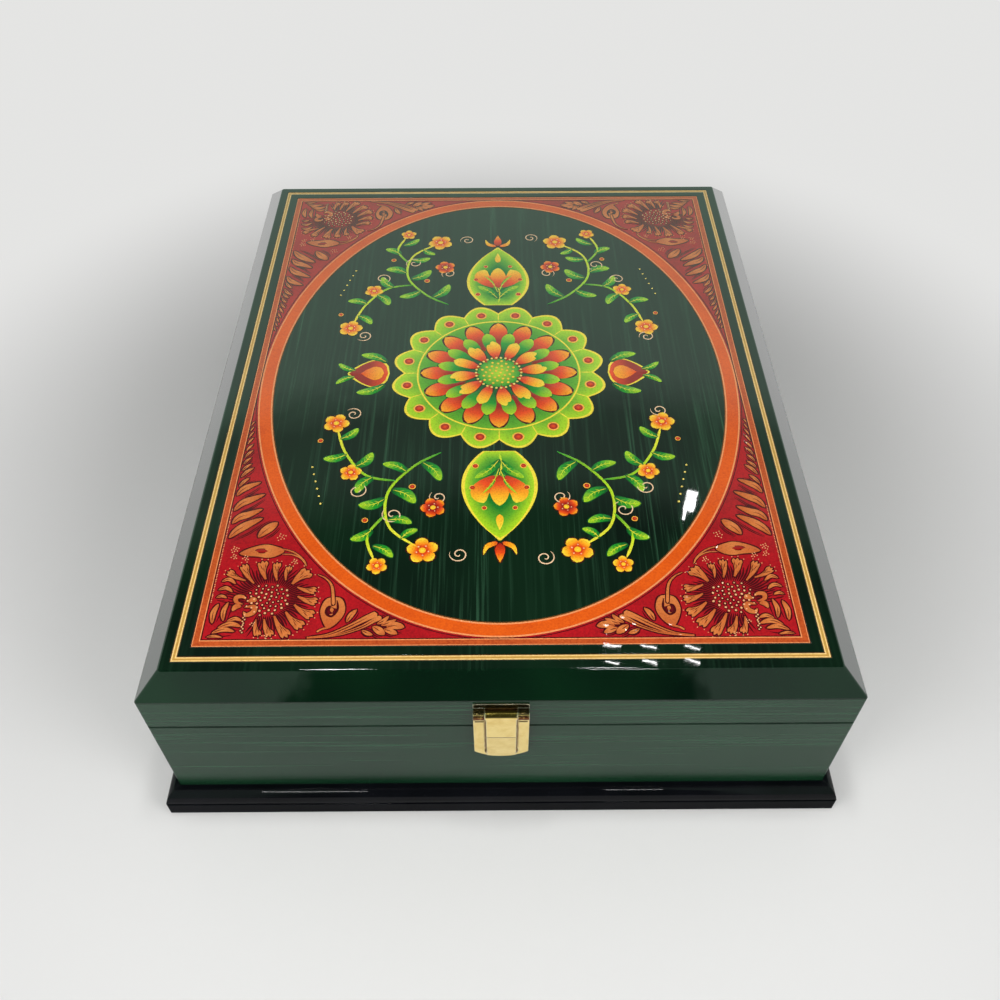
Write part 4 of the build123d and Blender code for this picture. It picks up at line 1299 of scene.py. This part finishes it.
LAMPS = (
    # softboxes in front, white cards beside, lamps overhead, and far lamps seen as glints;
    # name, place, point it faces, width, height, power, and whether gloss mirrors it
    ("soft_left", (-0.33, -0.50, 0.44), FRONT_EDGE, 0.30, 0.30, 2.02, False),
    ("soft_right", (0.33, -0.50, 0.44), FRONT_EDGE, 0.30, 0.30, 2.04, False),
    ("card_left", (-0.46, 0.21, 0.002), (-0.46, 0.21, 1.0), 0.20, 1.10, 0.44, True),
    ("card_right", (0.46, 0.21, 0.002), (0.46, 0.21, 1.0), 0.20, 1.10, 0.44, True),
    ("strip_left", (-0.31, -1.06, 0.83), (-0.095, -0.2225, 0.0155), 0.18, 0.012, 0.90, True),
    ("strip_right", (0.222, -1.06, 0.83), (0.069, -0.2225, 0.0155), 0.095, 0.012, 0.48, True),
    ("ceiling_left", (-0.27, 0.0, 2.1), FRONT_EDGE, 0.24, 0.06, 6.5, True),
    ("ceiling_right", (0.31, 0.0, 2.1), FRONT_EDGE, 0.20, 0.06, 5.0, True),
    ("window", (0.391, 0.867, 1.22), (0.101, -0.103, 0.113), 0.021, 0.042, 0.09, True),
    ("window_edge", (0.376, 0.842, 1.236), (0.098, -0.113, 0.113), 0.006, 0.026, 0.02, True),
)


def area_light(name, place, target, width, height, power, in_gloss=True):
    data = bpy.data.lights.new(name, "AREA")
    data.energy = power
    data.shape = "RECTANGLE"
    data.size = width
    data.size_y = height
    light = bpy.data.objects.new(name, data)
    light.location = place
    light.rotation_euler = (Vector(target) - Vector(place)).to_track_quat("-Z", "Y").to_euler()
    light.visible_camera = False
    light.visible_glossy = in_gloss
    bpy.context.scene.collection.objects.link(light)


def studio_lights():
    """The lamps of the table, and three pairs of thin far ones, seen near the lid's front edge."""
    glint_y, lid_top = -0.194, 0.113
    for lamp in LAMPS:
        area_light(*lamp)
    for number, across in enumerate((0.222, 0.297, 0.379)):
        spot = (0.048 + 0.24 * (across - 0.205), glint_y, lid_top)
        area_light(f"tube_{number}", (across, 0.606, 1.362), spot, 0.034, 0.003, 0.012)
        area_light(f"tube_{number}_low", (across, 0.580, 1.378), spot, 0.030, 0.003, 0.012)


def photo_camera():
    data = bpy.data.cameras.new("photo_camera")
    data.lens = CAMERA_LENS
    data.sensor_width = SENSOR_WIDTH
    data.clip_start = 0.01
    data.clip_end = 60.0
    camera = bpy.data.objects.new("photo_camera", data)
    turn = (
        Matrix.Rotation(CAMERA_YAW, 4, "Z")
        @ Matrix.Rotation(CAMERA_PITCH, 4, "X")
        @ Matrix.Rotation(CAMERA_ROLL, 4, "Z")
    )
    camera.matrix_world = Matrix.Translation(CAMERA_PLACE) @ turn
    bpy.context.scene.collection.objects.link(camera)
    bpy.context.scene.camera = camera


photo_camera()
studio_floor()
studio_world()
studio_lights()
bpy.context.scene.view_settings.view_transform = "Standard"

ORNAMENT = ornament_material()
VELVET = velvet_material()

SIDES = ("front", "back", "left", "right")
along_x = wall_lacquer("green_lacquer_across", "X")
along_y = wall_lacquer("green_lacquer_along", "Y")
for side_name in SIDES:
    walls = (f"base_{side_name}_wall", f"lid_{side_name}_rail")
    dress(along_x if side_name in ("front", "back") else along_y, *walls)
dress(top_lacquer("green_lacquer_top", 0.25), "lid_top_board")
dress(top_lacquer("green_lacquer_field", 1.0), "picture_oval_field")
dress(plinth_material(), *(f"plinth_{side_name}" for side_name in SIDES))
dress(bare_wood_material(), "bottom_board")
dress(painted_material("gold_line", GOLD, GOLD_DEEP), "picture_gold_line")
dress(painted_material("orange_border", BORDER_ORANGE, BORDER_DEEP, 0.8), "picture_orange_border")
dress(painted_material("red_ground", GROUND_RED, GROUND_RED_DEEP), "picture_corner_ground")
dress(painted_material("orange_ring", RING_ORANGE, RING_DEEP), "picture_oval_ring")
dress(
    brass_material("hinge_brass", 0.24),
    "hinge_left_base_leaf",
    "hinge_left_lid_leaf",
    "hinge_right_base_leaf",
    "hinge_right_lid_leaf",
    "hinge_pins",
    "hinge_base_screws",
    "hinge_lid_screws",
)
# The latch's plate and flap brass carry painted reflections, a painted highlight line and painted
# shade
dress(brass_material("latch_plate_brass", 0.16, plate_painted_reflection), "latch_lid_plate")
dress(brass_material("latch_flap_brass", 0.16, flap_painted_shade_and_reflection), "latch_flap")
dress(
    brass_material("latch_brass", 0.16),
    "latch_pin",
    "latch_catch",
    "latch_plate_screws",
    "latch_catch_screws",
)

edge_lines()
for end_name, flip_y in (("front", 1), ("back", -1)):
    for side_name, flip_x in (("left", 1), ("right", -1)):
        corner_ornament(f"corner_ornament_{end_name}_{side_name}", (flip_x, flip_y))
medallion()
lining_pad("floor_pad", "floor_lining", "base", True)
lining_pad("lid_pad", "lid_lining", "lid", False)
